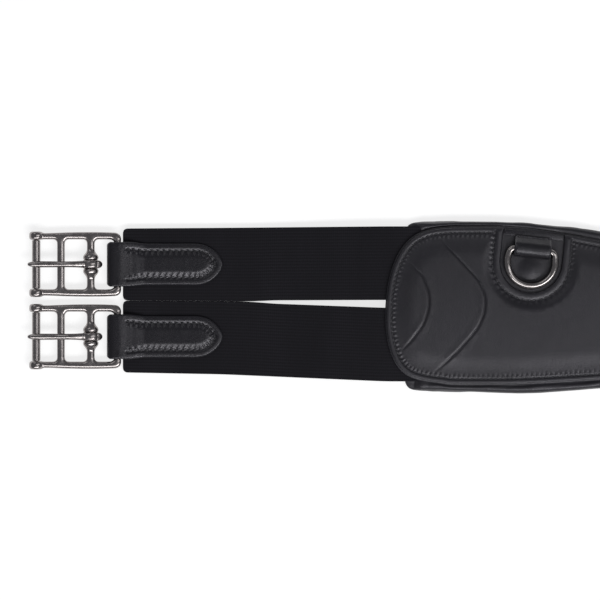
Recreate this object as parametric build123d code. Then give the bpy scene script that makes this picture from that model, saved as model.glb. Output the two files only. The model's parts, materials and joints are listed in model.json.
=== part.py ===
"""Long elasticated saddle girth: a padded leather body with two elastic straps and roller buckles at each end.

The girth lies flat, right side up. X runs along it, +Y is the edge that carries the two rings, and
Z = 0 is the underside of the lining. The origin is the middle of the girth, on that underside.
Both ends are alike, so every end piece is built once and placed four times.
"""
import os
from math import acos, cos, degrees, radians, sin, sqrt

from build123d import *

# ---------------------------------------------------------------- overall sizes (mm)
GIRTH_LENGTH = 1200.0          # from tongue tip to tongue tip, unstretched
ELASTIC_WIDTH = 45.4           # each strap, where it leaves the body
STRAP_GAP = 4.8                # between the two straps, where they leave the body
FRONT_MARGIN = 3.6             # padded roll beyond the straps, ring edge
REAR_MARGIN = 8.0              # padded roll beyond the straps, plain edge
STRAP_PAIR_SHIFT = 2.2         # the pair of straps lies this far towards the ring edge
BEYOND = 200.0                 # reach of a cutting solid that only has to pass right through

# ---------------------------------------------------------------- padded body
LINING_WALL = 1.2
LINING_ROLL_RADIUS = 3.5       # rounding of the padded edge roll
LIP_WIDTH = 9.0                # how far the lining turns in over the padding
LINING_SETBACK = 11.5          # the lining stops this far inside the mouth
LINING_CORNER = 12.0
FOAM_TOP = 5.4                 # top of the padding, and level of the straps inside the body
SOFT_GAP = 0.3                 # clearance of a soft piece from its neighbour
BASE_THICKNESS = 1.6
PANEL_THICKNESS = 2.0
PANEL_INSET_FRONT = 4.5        # the outer panel stops this far inside the padded edge
PANEL_INSET_REAR = 6.5
BASE_MARGIN = 0.8              # the base leather shows this far round the outer panel
ELBOW_FROM_CENTRE = 150.0      # the body is narrowest here, behind the horse's elbows
ELBOW_RELIEF_FRONT = 20.0
ELBOW_RELIEF_REAR = 7.5
CENTRE_RELIEF_FRONT = 4.0
CENTRE_RELIEF_REAR = 1.5
SHOULDER_FROM_MOUTH = 131.0    # the edges begin to sweep in here
SHOULDER_RELIEF_FRONT = 6.2
SHOULDER_RELIEF_REAR = 2.9
PANEL_STRAIGHT_RUN = 62.0      # the panel's edges are straight for this long beyond the shoulder
PANEL_SWEEP = 2.0              # the ring edge of the panel sweeps in this much more than the lining
FULL_WIDTH_FRONT = 50.0        # the edges are at their widest this far from the mouth
FULL_WIDTH_REAR = 82.0
END_RELIEF_FRONT = 0.6
END_RELIEF_REAR = 2.0
NOSE_LENGTH = 52.0             # the rounded end of the outer panel
# the panel's end, as a distance in from its tip and a share of the half width
NOSE_FRONT = [(33.5, 0.988), (18.1, 0.894), (6.9, 0.631), (0.0, 0.03)]
NOSE_REAR = [(3.1, 0.588), (13.8, 0.881), (35.3, 0.983)]
WEB_WIDTH = 25.0
WEB_THICKNESS = 1.5
WEB_FRONT_Y = 17.5
WEB_REAR_Y = -22.0
WEB_END_FROM_MOUTH = 19.0
STIFFENER_END_GAP = 1.0        # between the board and the straps' inner ends

# ---------------------------------------------------------------- elastic straps
ELASTIC_THICKNESS = 2.2
ELASTIC_DRAW_IN = 1.1          # a strap is this much narrower at its buckle
ELASTIC_SEWN_IN = 55.0         # length of strap inside the body
ELASTIC_CHANNEL_SPARE = 6.0    # the lining's turn-in stops this far past the strap's inner end
ELASTIC_LEVEL_RUN = 3.0        # the strap leaves the body level, then falls
ELASTIC_SETTLE = 8.0           # and is down at the buckle's level this far before the chape
ELASTIC_END_GAP = 1.2          # between the strap's outer end and the buckle bar
CHAPE_BAR_FROM_MOUTH = 165.2
FRONT_BUCKLE_SHIFT = -0.7      # how far the strap's middle moves across, from mouth to buckle
REAR_BUCKLE_SHIFT = 4.9
SHIFT_LEFT_AT_CHAPE = 0.18     # share of that shift still to come at the chape's tip

# ---------------------------------------------------------------- leather chape round the buckle bar
CHAPE_THICKNESS = 2.2
CHAPE_TAB_WIDTH = 25.4
CHAPE_NECK_PLAY = 1.75         # between the chape and each side bar of the buckle
CHAPE_TAB_LENGTH = 65.0        # from the buckle bar to the tab's tip
CHAPE_TIP_LENGTH = 10.8
CHAPE_UNDER_LENGTH = 47.0      # from the buckle bar to the end of the under leg
CHAPE_SLACK = 2.3              # room in the fold beyond the bar
CHAPE_BAR_CLEARANCE = 0.35
CHAPE_SHOULDER = 15.0          # length of the slope down from the bar to the strap
CHAPE_KNEE = 1.6               # the slope starts this far inside the bar's middle
CHAPE_NECK_RUN = 2.0           # and the neck has its full width this far before the slope's start

# ---------------------------------------------------------------- buckle
BUCKLE_FLOOR_CLEARANCE = 0.3
BUCKLE_INNER_WIDTH = 31.0
BUCKLE_SIDE_WIDTH = 4.2
BUCKLE_THICKNESS = 4.2
BUCKLE_EDGE_ROUND = 1.7
CHAPE_BAR_TURNING = 0.05       # taken off the frame all round where its first bar is turned
CHAPE_BAR_SPARE = 0.8          # the turned length passes the chape by this, each side
TONGUE_BAR_AT = 16.5           # bar positions are counted from the chape bar, outwards
MIDDLE_BAR_AT = 34.9
ROLLER_AT = 50.2
CROSS_BAR_WIDTH = 4.5
WINDOW_CORNER = 2.4
BUCKLE_CORNER = 3.8
BOSS_RADIUS = 4.2
BOSS_LENGTH = 5.0
BOSS_ROUND = 1.6
BOSS_PROUD = 0.4               # a boss stands in past its side bar by this
COLLAR_RADIUS = 4.7
COLLAR_LENGTH = 7.5
COLLAR_END_RADIUS = 1.9        # the flare runs out inside the bar
COLLAR_LIP_WIDTH = 1.4
COLLAR_LIP_HEIGHT = 0.9
TONGUE_NECK_RADIUS = 2.3
TONGUE_EYE_WIDTH = 4.8
TONGUE_EYE_RADIUS = 4.7
TONGUE_SIDE_PLAY = 0.3
TONGUE_BORE_CLEARANCE = 0.08
TONGUE_OVERHANG = 2.5          # the tongue's tip passes the roller by this
ROLLER_RADIUS = 2.6
ROLLER_PIN_RADIUS = 1.6
ROLLER_BORE_CLEARANCE = 0.06
PIN_SEAT_CLEARANCE = 0.02
ROLLER_END_PLAY = 0.3
ROLLER_EDGE_ROUND = 0.5

# ---------------------------------------------------------------- rings
RING_FROM_MOUTH = 89.6
RING_FROM_EDGE = 25.6          # ring centre, inside the widest line of the padded edge
RING_TURN = 6.0                # degrees, along the sweep of the edge
RING_RADIUS = 14.7             # centre line of the bow
RING_WIRE_RADIUS = 2.2
RING_BAR_OFFSET = 7.0          # straight bar, from the bow's centre
RING_CORNER = 2.6
RING_REST_CLEARANCE = 0.25
LOOP_THICKNESS = 1.2
LOOP_SIDE_PLAY = 0.57          # between the loop and each end of the ring's straight bar
LOOP_BAR_CLEARANCE = 0.3
LOOP_FLAP = 8.5                # folded flap, from the middle of the bar to its sewn end
LOOP_FLAP_LAP = 1.6            # length of the two layers that are sewn together
LOOP_POCKET_END = 2.5          # the bar's pocket stops this far inside the sewn end
LOOP_YOKE_DEPTH = 3.1
LOOP_YOKE_LAP = 0.5
LOOP_YOKE_PLAY = 0.5           # between the yoke and each side of the cut-out
WINDOW_MARGIN = 2.1            # between the ring and the cut-out

# ---------------------------------------------------------------- worked-out places
TONGUE_TIP_AT = ROLLER_AT + ROLLER_RADIUS + TONGUE_OVERHANG
MOUTH_X = GIRTH_LENGTH / 2 - CHAPE_BAR_FROM_MOUTH - TONGUE_TIP_AT
FRONT_EDGE = STRAP_GAP / 2 + ELASTIC_WIDTH + FRONT_MARGIN + STRAP_PAIR_SHIFT
REAR_EDGE = -(STRAP_GAP / 2 + ELASTIC_WIDTH + REAR_MARGIN - STRAP_PAIR_SHIFT)
FRONT_STRAP_Y = FRONT_EDGE - FRONT_MARGIN - ELASTIC_WIDTH / 2
REAR_STRAP_Y = REAR_EDGE + REAR_MARGIN + ELASTIC_WIDTH / 2
FRONT_BUCKLE_Y = FRONT_STRAP_Y + FRONT_BUCKLE_SHIFT
REAR_BUCKLE_Y = REAR_STRAP_Y + REAR_BUCKLE_SHIFT
LINING_TOP = FOAM_TOP + ELASTIC_THICKNESS
BASE_TOP = LINING_TOP + BASE_THICKNESS
PANEL_TOP = BASE_TOP + PANEL_THICKNESS
CHAPE_BAR_RADIUS = BUCKLE_THICKNESS / 2 - CHAPE_BAR_TURNING
CHAPE_NECK_WIDTH = BUCKLE_INNER_WIDTH - 2 * CHAPE_NECK_PLAY
CHAPE_INNER_HALF = CHAPE_BAR_RADIUS + CHAPE_BAR_CLEARANCE
BUCKLE_CENTRE_Z = max(COLLAR_RADIUS, CHAPE_INNER_HALF + CHAPE_THICKNESS) + BUCKLE_FLOOR_CLEARANCE
ELASTIC_OUTER_END = CHAPE_BAR_FROM_MOUTH - CHAPE_BAR_RADIUS - ELASTIC_END_GAP
ELASTIC_OUTER_WIDTH = ELASTIC_WIDTH - ELASTIC_DRAW_IN
ELASTIC_LOW_Z = BUCKLE_CENTRE_Z - CHAPE_INNER_HALF
TAB_TIP_AT = CHAPE_BAR_FROM_MOUTH - CHAPE_TAB_LENGTH
RING_X = MOUTH_X - RING_FROM_MOUTH
RING_Y = FRONT_EDGE - RING_FROM_EDGE
RING_BAR_Z = BASE_TOP + LOOP_THICKNESS + LOOP_BAR_CLEARANCE + RING_WIRE_RADIUS
RING_REST_Z = BASE_TOP + RING_REST_CLEARANCE + RING_WIRE_RADIUS
RING_CORNER_Y = RING_BAR_OFFSET - RING_CORNER
RING_CORNER_X = sqrt((RING_RADIUS - RING_CORNER) ** 2 - RING_CORNER_Y ** 2)
WINDOW_RADIUS = RING_RADIUS + RING_WIRE_RADIUS + WINDOW_MARGIN
LOOP_WIDTH = 2 * (RING_CORNER_X - LOOP_SIDE_PLAY)
LOOP_SEAM_AT = RING_BAR_OFFSET + LOOP_FLAP
LOOP_YOKE_WIDTH = 2 * (WINDOW_RADIUS - LOOP_YOKE_PLAY)
ROLLER_HALF = BUCKLE_INNER_WIDTH / 2 - BOSS_PROUD - ROLLER_END_PLAY


def box_between(low, high):
    """Solid box from its lowest to its highest corner."""
    size = [h - l for l, h in zip(low, high)]
    centre = [(h + l) / 2 for l, h in zip(low, high)]
    return Pos(*centre) * Box(*size)


def slab(face, bottom, top):
    """Flat solid with the face's outline, between two levels."""
    return Pos(0, 0, bottom) * extrude(face, top - bottom, dir=(0, 0, 1))


# ---------------------------------------------------------------- body outlines
def long_edge(full_y, full_from_mouth, reliefs, end_x, inset):
    """One long edge of the lining, left to right, on the side given by the sign of full_y.

    reliefs say how far the edge lies inside its widest line at the end, shoulder, elbow and centre.
    """
    side = 1 if full_y > 0 else -1
    end, shoulder, elbow, centre = (full_y - side * (relief + inset) for relief in reliefs)
    half = [
        (end_x, end),
        (MOUTH_X - full_from_mouth, full_y - side * inset),
        (MOUTH_X - SHOULDER_FROM_MOUTH, shoulder),
        (ELBOW_FROM_CENTRE, elbow),
    ]
    points = [(-x, y) for x, y in half] + [(0, centre)] + half[::-1]
    return Spline(*points, tangents=[(1, 0), (1, 0)])


def lining_face(inset=0.0):
    """Outline of the padded underside, drawn in by the inset."""
    end_x = MOUTH_X - LINING_SETBACK - inset
    corner = max(LINING_CORNER - inset, 3.0)
    start_x = end_x - corner
    front_reliefs = (END_RELIEF_FRONT, SHOULDER_RELIEF_FRONT, ELBOW_RELIEF_FRONT, CENTRE_RELIEF_FRONT)
    rear_reliefs = (END_RELIEF_REAR, SHOULDER_RELIEF_REAR, ELBOW_RELIEF_REAR, CENTRE_RELIEF_REAR)
    front = long_edge(FRONT_EDGE, FULL_WIDTH_FRONT, front_reliefs, start_x, inset)
    rear = long_edge(REAR_EDGE, FULL_WIDTH_REAR, rear_reliefs, start_x, inset)
    top, bottom = (front @ 1).Y, (rear @ 1).Y
    lean = corner * sin(radians(45))
    front_arc = ThreePointArc((start_x, top), (start_x + lean, top - corner + lean), (end_x, top - corner))
    rear_arc = ThreePointArc((end_x, bottom + corner), (start_x + lean, bottom + corner - lean), (start_x, bottom))
    end = Line((end_x, top - corner), (end_x, bottom + corner))
    right = [front_arc, end, rear_arc]
    return make_face([front, rear, *right, *[mirror(edge, about=Plane.YZ) for edge in right]])


def panel_face(grow=0.0):
    """Outline of the outer panel, with its rounded ends, grown by the margin of the leather under it."""
    front_y = FRONT_EDGE - PANEL_INSET_FRONT + grow
    rear_y = REAR_EDGE + PANEL_INSET_REAR - grow
    start_x = MOUTH_X - NOSE_LENGTH
    tip_x = MOUTH_X - BASE_MARGIN + grow
    shoulder_x = MOUTH_X - SHOULDER_FROM_MOUTH

    def edge(full_y, shoulder, elbow, centre):
        half = [(start_x, full_y), (shoulder_x + PANEL_STRAIGHT_RUN, full_y), (shoulder_x, full_y - shoulder),
                (ELBOW_FROM_CENTRE, full_y - elbow)]
        points = [(-x, y) for x, y in half] + [(0, full_y - centre)] + half[::-1]
        return Spline(*points, tangents=[(1, 0), (1, 0)])

    front = edge(front_y, SHOULDER_RELIEF_FRONT + PANEL_SWEEP, ELBOW_RELIEF_FRONT + PANEL_SWEEP,
                 CENTRE_RELIEF_FRONT)
    rear = edge(rear_y, -SHOULDER_RELIEF_REAR, -ELBOW_RELIEF_REAR, -CENTRE_RELIEF_REAR)
    front_nose = [(tip_x - back, share * front_y) for back, share in NOSE_FRONT]
    rear_nose = [(tip_x - back, share * rear_y) for back, share in NOSE_REAR]
    right = Spline((start_x, front_y), *front_nose, *rear_nose, (start_x, rear_y), tangents=[(1, 0), (-1, 0)])
    left = mirror(right, about=Plane.YZ)
    return make_face([front, right, rear, left])


def ring_place(end):
    """Where a ring sits: end is -1 for the left end and 1 for the right. Local +Y points to the edge."""
    return Location((end * RING_X, RING_Y, 0), (0, 0, end * RING_TURN))


def window_faces(end):
    """Cut-out of the outer panel round a ring: its round end, and its straight sides open to the long edge."""
    reach = FRONT_EDGE
    sides = Pos(0, reach / 2) * Rectangle(2 * WINDOW_RADIUS, reach)
    return [ring_place(end) * shape for shape in (Circle(WINDOW_RADIUS), sides)]


# ---------------------------------------------------------------- body pieces
def lining():
    """Soft leather tray that wraps the padding and turns in over its long edges."""
    shell = fillet(slab(lining_face(), 0, LINING_TOP).edges().group_by(Axis.Z)[0], LINING_ROLL_RADIUS)
    shell = fillet(shell.edges().group_by(Axis.Z)[-1], LINING_ROLL_RADIUS)
    shell -= slab(lining_face(LINING_WALL), LINING_WALL, FOAM_TOP)
    shell -= slab(lining_face(LIP_WIDTH), FOAM_TOP, LINING_TOP + 1)
    for end in (-1, 1):
        low_x, high_x = sorted((end * (MOUTH_X - ELASTIC_SEWN_IN - ELASTIC_CHANNEL_SPARE), end * (MOUTH_X + 1)))
        shell -= box_between(
            (low_x, REAR_STRAP_Y - ELASTIC_WIDTH / 2 - SOFT_GAP, FOAM_TOP),
            (high_x, FRONT_STRAP_Y + ELASTIC_WIDTH / 2 + SOFT_GAP, LINING_TOP + 1),
        )
    return shell


def foam_pad():
    """Closed-cell padding with a channel for each load-bearing web."""
    pad = slab(lining_face(LINING_WALL + SOFT_GAP), LINING_WALL, FOAM_TOP)
    for y in (WEB_FRONT_Y, WEB_REAR_Y):
        length = MOUTH_X - WEB_END_FROM_MOUTH + SOFT_GAP
        half = WEB_WIDTH / 2 + SOFT_GAP
        pad -= box_between((-length, y - half, FOAM_TOP - WEB_THICKNESS), (length, y + half, FOAM_TOP + 1))
    return pad


def web(y):
    """Woven load-bearing web, from the straps at one end to those at the other."""
    length = MOUTH_X - WEB_END_FROM_MOUTH
    half = WEB_WIDTH / 2
    return box_between((-length, y - half, FOAM_TOP - WEB_THICKNESS), (length, y + half, FOAM_TOP))


def stiffener():
    """Firm board between the inner ends of the straps."""
    reach = MOUTH_X - ELASTIC_SEWN_IN - STIFFENER_END_GAP
    board = slab(lining_face(LIP_WIDTH + SOFT_GAP), FOAM_TOP, LINING_TOP)
    return board & box_between((-reach, -BEYOND, 0), (reach, BEYOND, PANEL_TOP))


def base_leather():
    """Leather layer that closes the padded body and backs the outer panel."""
    return slab(panel_face(BASE_MARGIN), LINING_TOP, BASE_TOP)


def outer_panel():
    """Top leather panel with a U-shaped cut-out round each ring."""
    panel = slab(panel_face(), BASE_TOP, PANEL_TOP)
    for face in window_faces(-1) + window_faces(1):
        panel -= slab(face, BASE_TOP - 1, PANEL_TOP + 1)
    return panel


# ---------------------------------------------------------------- rings
def ring_tilt():
    """Angle at which a ring leans from its raised bar to the leather, in degrees."""
    return 90 - degrees(acos((RING_BAR_Z - RING_REST_Z) / (RING_BAR_OFFSET + RING_RADIUS)))


def ring(end):
    """Round-bowed D ring, lying in its cut-out."""
    centre = RING_RADIUS - RING_CORNER
    bow_x, bow_y = RING_CORNER_X * RING_RADIUS / centre, RING_CORNER_Y * RING_RADIUS / centre
    half_bar = Line((0, RING_BAR_OFFSET), (RING_CORNER_X, RING_BAR_OFFSET))
    bend_angle = (radians(90) + acos(RING_CORNER_X / centre)) / 2
    bend_x = RING_CORNER_X + RING_CORNER * cos(bend_angle)
    bend_y = RING_CORNER_Y + RING_CORNER * sin(bend_angle)
    bend = ThreePointArc(half_bar @ 1, (bend_x, bend_y), (bow_x, bow_y))
    bow = ThreePointArc((bow_x, bow_y), (RING_RADIUS, 0), (0, -RING_RADIUS))
    half = Wire([half_bar, bend, bow])
    section = Plane(origin=(0, RING_BAR_OFFSET, 0), z_dir=(1, 0, 0)) * Circle(RING_WIRE_RADIUS)
    solid = sweep(section, path=half)
    solid = solid + mirror(solid, about=Plane.YZ)
    solid = Pos(0, -RING_BAR_OFFSET, 0) * solid
    solid = Rot(ring_tilt(), 0, 0) * solid
    return ring_place(end) * Pos(0, RING_BAR_OFFSET, RING_BAR_Z) * solid


def ring_loop(end):
    """Leather loop that is folded round the ring's bar and sewn down on its wider yoke."""
    inner = RING_WIRE_RADIUS + LOOP_BAR_CLEARANCE
    outer = inner + LOOP_THICKNESS
    seam = LOOP_FLAP
    low = RING_BAR_Z - outer
    side = Plane(origin=(0, RING_BAR_OFFSET, RING_BAR_Z), x_dir=(0, 1, 0), z_dir=(1, 0, 0))
    lap = 2 * LOOP_THICKNESS - outer
    outside = make_face([
        ThreePointArc((0, outer), (-outer, 0), (0, -outer)),
        Polyline((0, -outer), (seam, -outer), (seam, lap), (seam - LOOP_FLAP_LAP, lap), (1.6, outer),
                 (0, outer)),
    ])
    inside = make_face([
        ThreePointArc((0, inner), (-inner, 0), (0, -inner)),
        Polyline((0, -inner), (seam - LOOP_POCKET_END, -inner), (1.2, inner), (0, inner)),
    ])
    loop = extrude(side * (outside - inside), LOOP_WIDTH / 2, both=True)
    yoke = box_between(
        (-LOOP_YOKE_WIDTH / 2, LOOP_SEAM_AT - LOOP_YOKE_LAP, low),
        (LOOP_YOKE_WIDTH / 2, LOOP_SEAM_AT + LOOP_YOKE_DEPTH, low + LOOP_THICKNESS),
    )
    return ring_place(end) * (loop + yoke)


# ---------------------------------------------------------------- strap pieces, in the strap's own frame:
# X runs outwards from the mouth, Y across the strap, Z up from the lining's underside
def elastic(mouth_offset):
    """Elastic strap that leaves the body, drops to the buckle's level and ends inside the chape.

    mouth_offset is where the strap's middle lies at the mouth, across from the buckle's middle line.
    """
    thick = ELASTIC_THICKNESS
    high, low = FOAM_TOP, ELASTIC_LOW_Z
    start, end = -ELASTIC_SEWN_IN, ELASTIC_OUTER_END
    fall_at, settle_at = ELASTIC_LEVEL_RUN, TAB_TIP_AT - ELASTIC_SETTLE
    level = Polyline((start, high), (fall_at, high))
    fall = Spline((fall_at, high), (settle_at, low), tangents=[(1, 0), (1, 0)])
    run = Polyline((settle_at, low), (end, low), (end, low + thick), (settle_at, low + thick))
    rise = Spline((fall_at, high + thick), (settle_at, low + thick), tangents=[(1, 0), (1, 0)])
    back = Polyline((fall_at, high + thick), (start, high + thick), (start, high))
    profile = extrude(Plane.XZ * make_face([level, fall, run, rise, back]), BEYOND, both=True)
    wide, narrow = ELASTIC_WIDTH / 2, ELASTIC_OUTER_WIDTH / 2
    tip_offset = mouth_offset * SHIFT_LEFT_AT_CHAPE
    stations = [(start, mouth_offset, wide), (0, mouth_offset, wide), (TAB_TIP_AT, tip_offset, (wide + narrow) / 2),
                (end, 0, narrow)]
    outline = [(x, c - w) for x, c, w in stations] + [(x, c + w) for x, c, w in stations[::-1]]
    plan = make_face(Polyline(*outline, close=True))
    return profile & slab(plan, 0, PANEL_TOP)


def chape():
    """Leather tab that sandwiches the strap's end and folds round the buckle's bar."""
    inner, outer = CHAPE_INNER_HALF, CHAPE_INNER_HALF + CHAPE_THICKNESS
    bar = CHAPE_BAR_FROM_MOUTH
    fold, knee = bar + CHAPE_SLACK, bar - CHAPE_KNEE
    hip = knee - CHAPE_SHOULDER
    mid = BUCKLE_CENTRE_Z
    tab_low = ELASTIC_LOW_Z + ELASTIC_THICKNESS
    tab_high = tab_low + CHAPE_THICKNESS
    under = bar - CHAPE_UNDER_LENGTH
    outside = make_face([
        ThreePointArc((fold, mid + outer), (fold + outer, mid), (fold, mid - outer)),
        Polyline((fold, mid - outer), (under, mid - outer), (under, mid - inner), (TAB_TIP_AT, mid - inner),
                 (TAB_TIP_AT, tab_high), (hip, tab_high), (knee, mid + outer), (fold, mid + outer)),
    ])
    inside = make_face([
        ThreePointArc((fold, mid + inner), (fold + inner, mid), (fold, mid - inner)),
        Polyline((fold, mid - inner), (TAB_TIP_AT - 1, mid - inner), (TAB_TIP_AT - 1, tab_low), (hip, tab_low),
                 (knee, mid + inner), (fold, mid + inner)),
    ])
    profile = extrude(Plane.XZ * (outside - inside), BEYOND, both=True)
    half, neck = CHAPE_TAB_WIDTH / 2, CHAPE_NECK_WIDTH / 2
    end = fold + outer + 1
    neck_from = knee - CHAPE_NECK_RUN
    tip_from = TAB_TIP_AT + CHAPE_TIP_LENGTH
    tip = Spline((tip_from, half), (TAB_TIP_AT, 0), (tip_from, -half), tangents=[(-1, 0), (0, -1), (1, 0)])
    sides = Polyline((tip_from, -half), (hip, -half), (neck_from, -neck), (end, -neck),
                     (end, neck), (neck_from, neck), (hip, half), (tip_from, half))
    return profile & slab(make_face([tip, sides]), 0, BEYOND)


def buckle_outline():
    """Plan of the buckle's frame without its openings; X is counted from the chape bar."""
    inner = BUCKLE_INNER_WIDTH / 2
    outer = inner + BUCKLE_SIDE_WIDTH
    start = -BUCKLE_THICKNESS / 2
    side = Spline(
        (start + BUCKLE_CORNER, outer - 0.2), (TONGUE_BAR_AT, outer + 0.15), (MIDDLE_BAR_AT, outer - 0.2),
        (ROLLER_AT - BOSS_RADIUS - 2, outer - 0.5), (ROLLER_AT, outer - 0.4),
    )
    corner = RadiusArc((start, outer - 0.2 - BUCKLE_CORNER), (start + BUCKLE_CORNER, outer - 0.2), BUCKLE_CORNER)
    close = Polyline((ROLLER_AT, outer - 0.4), (ROLLER_AT, 0), (start, 0), (start, outer - 0.2 - BUCKLE_CORNER))
    half = make_face([corner, side, close])
    return half + mirror(half, about=Plane.XZ)


def across(radius, low_y, high_y):
    """Cylinder along Y between two places, round the frame's Y axis."""
    length = high_y - low_y
    return Pos(0, (low_y + high_y) / 2, 0) * Rot(90, 0, 0) * Cylinder(radius, length)


def buckle_frame():
    """Cast frame with three fixed bars; the roller's pin sits in the bosses at its open end."""
    inner = BUCKLE_INNER_WIDTH / 2
    plan = buckle_outline()
    half_bar = CROSS_BAR_WIDTH / 2
    chape_half = BUCKLE_THICKNESS / 2
    gaps = [
        (chape_half, TONGUE_BAR_AT - half_bar),
        (TONGUE_BAR_AT + half_bar, MIDDLE_BAR_AT - half_bar),
    ]
    for low, high in gaps:
        plan -= Pos((low + high) / 2, 0) * RectangleRounded(high - low, 2 * inner, WINDOW_CORNER)
    mouth = 2 * (ROLLER_AT - MIDDLE_BAR_AT)
    plan -= Pos(MIDDLE_BAR_AT + half_bar + mouth / 2, 0) * RectangleRounded(mouth, 2 * inner, WINDOW_CORNER)
    frame = slab(plan, -chape_half, chape_half)
    # every edge is rounded except the side bars' ends, which the bosses cover
    rims = frame.edges().filter_by(lambda e: abs(abs(e.center().Z) - chape_half) < 0.01)
    frame = fillet(rims.filter_by(lambda e: e.center().X < ROLLER_AT - 0.1), BUCKLE_EDGE_ROUND)
    # the chape bar is turned round where the leather bears on it
    neck = CHAPE_NECK_WIDTH / 2 + CHAPE_BAR_SPARE
    frame -= box_between((-BEYOND, -neck, -BEYOND), (chape_half + WINDOW_CORNER, neck, BEYOND))
    frame += across(CHAPE_BAR_RADIUS, -neck - 1, neck + 1)
    # collars that flare towards the tongue, and the turned neck between them
    gap = TONGUE_EYE_WIDTH / 2 + TONGUE_SIDE_PLAY
    flare_end, lip_end = gap + COLLAR_LENGTH, gap + COLLAR_LIP_WIDTH
    lip_radius = COLLAR_RADIUS - COLLAR_LIP_HEIGHT
    curve = Spline(
        (COLLAR_RADIUS, lip_end), (COLLAR_RADIUS * 0.72, gap + COLLAR_LENGTH * 0.52), (COLLAR_END_RADIUS, flare_end),
        tangents=[(0, 1), (-0.2, 1)],
    )
    rim = Polyline((COLLAR_END_RADIUS, flare_end), (0, flare_end), (0, gap), (lip_radius, gap))
    lean = (lip_radius + COLLAR_LIP_HEIGHT * 0.7, gap + COLLAR_LIP_WIDTH * 0.3)
    lip = ThreePointArc((lip_radius, gap), lean, (COLLAR_RADIUS, lip_end))
    collar = revolve(make_face([curve, rim, lip]), Axis.Y)
    frame -= Pos(TONGUE_BAR_AT, 0, 0) * across(COLLAR_RADIUS + 3, -gap, gap)
    frame += Pos(TONGUE_BAR_AT, 0, 0) * across(TONGUE_NECK_RADIUS, -gap - 1, gap + 1)
    frame += Pos(TONGUE_BAR_AT, 0, 0) * collar
    frame += Pos(TONGUE_BAR_AT, 0, 0) * mirror(collar, about=Plane.XZ)
    # bosses that hold the roller's pin
    boss = across(BOSS_RADIUS, inner - BOSS_PROUD, inner - BOSS_PROUD + BOSS_LENGTH)
    boss = fillet(boss.edges().filter_by(GeomType.CIRCLE), BOSS_ROUND)
    frame += Pos(ROLLER_AT, 0, 0) * boss
    frame += Pos(ROLLER_AT, 0, 0) * mirror(boss, about=Plane.XZ)
    frame -= Pos(ROLLER_AT, 0, 0) * across(ROLLER_PIN_RADIUS + PIN_SEAT_CLEARANCE, -BEYOND, BEYOND)
    return frame


def roller_pin():
    """Plain steel pin riveted into the bosses."""
    half = BUCKLE_INNER_WIDTH / 2 - BOSS_PROUD + BOSS_LENGTH
    pin = across(ROLLER_PIN_RADIUS, -half, half)
    return Pos(ROLLER_AT, 0, 0) * fillet(pin.edges().filter_by(GeomType.CIRCLE), ROLLER_EDGE_ROUND)


def roller():
    """Tube that turns freely on its pin."""
    tube = across(ROLLER_RADIUS, -ROLLER_HALF, ROLLER_HALF)
    tube = fillet(tube.edges().filter_by(GeomType.CIRCLE), ROLLER_EDGE_ROUND)
    return Pos(ROLLER_AT, 0, 0) * (tube - across(ROLLER_PIN_RADIUS + ROLLER_BORE_CLEARANCE, -BEYOND, BEYOND))


def tongue():
    """Buckle tongue: an eye on its bar, and a tapered shank that rests on the roller."""
    reach = TONGUE_TIP_AT - TONGUE_BAR_AT
    over_roller = ROLLER_RADIUS + 0.15
    # along the shank: distance out, height of its middle, half width, half height
    shank_height = 1.5
    level = over_roller + shank_height
    stations = [
        (1.0, 2.2, 2.1, 1.6), (5.0, 3.4, 2.2, 1.7), (9.5, level + 0.15, 1.95, 1.6),
        (18.0, level + 0.1, 1.8, shank_height), (28.0, level, 1.95, shank_height),
        (reach - 3.4, level - 0.1, 1.7, 1.35), (reach - 1.4, level - 0.2, 1.3, 1.1),
        (reach - 0.4, level - 0.25, 0.8, 0.7), (reach, level - 0.28, 0.3, 0.25),
    ]
    sections = [
        Plane(origin=(x, 0, z), x_dir=(0, 1, 0), z_dir=(1, 0, 0)) * Ellipse(across_half, up_half)
        for x, z, across_half, up_half in stations
    ]
    shank = loft(sections)
    heel = (2.3, -4.9, 0.6)
    shape = make_hull(Circle(TONGUE_EYE_RADIUS).edges() + (Pos(heel[1], heel[2]) * Circle(heel[0])).edges())
    eye = extrude(Plane.XZ * shape, TONGUE_EYE_WIDTH / 2, both=True)
    eye = fillet(eye.edges().filter_by(lambda e: abs(abs(e.center().Y) - TONGUE_EYE_WIDTH / 2) < 0.01), 1.1)
    body = eye + shank
    body -= across(TONGUE_NECK_RADIUS + TONGUE_BORE_CLEARANCE, -TONGUE_EYE_WIDTH, TONGUE_EYE_WIDTH)
    return Pos(TONGUE_BAR_AT, 0, 0) * body


# ---------------------------------------------------------------- the whole girth
def strap_frames():
    """Name, buckle line's height across the girth, mouth offset and end of every strap."""
    for end_name, end in (("left", -1), ("right", 1)):
        for side_name, buckle_y, mouth_y in (
            ("front", FRONT_BUCKLE_Y, FRONT_STRAP_Y),
            ("rear", REAR_BUCKLE_Y, REAR_STRAP_Y),
        ):
            yield f"{end_name}_{side_name}", end, buckle_y, mouth_y - buckle_y


def place_strap(piece, end, buckle_y):
    """Moves a piece from the strap's own frame to its place at one end of the girth."""
    placed = piece if end > 0 else mirror(piece, about=Plane.YZ)
    return Pos(end * MOUTH_X, buckle_y, 0) * placed


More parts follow.
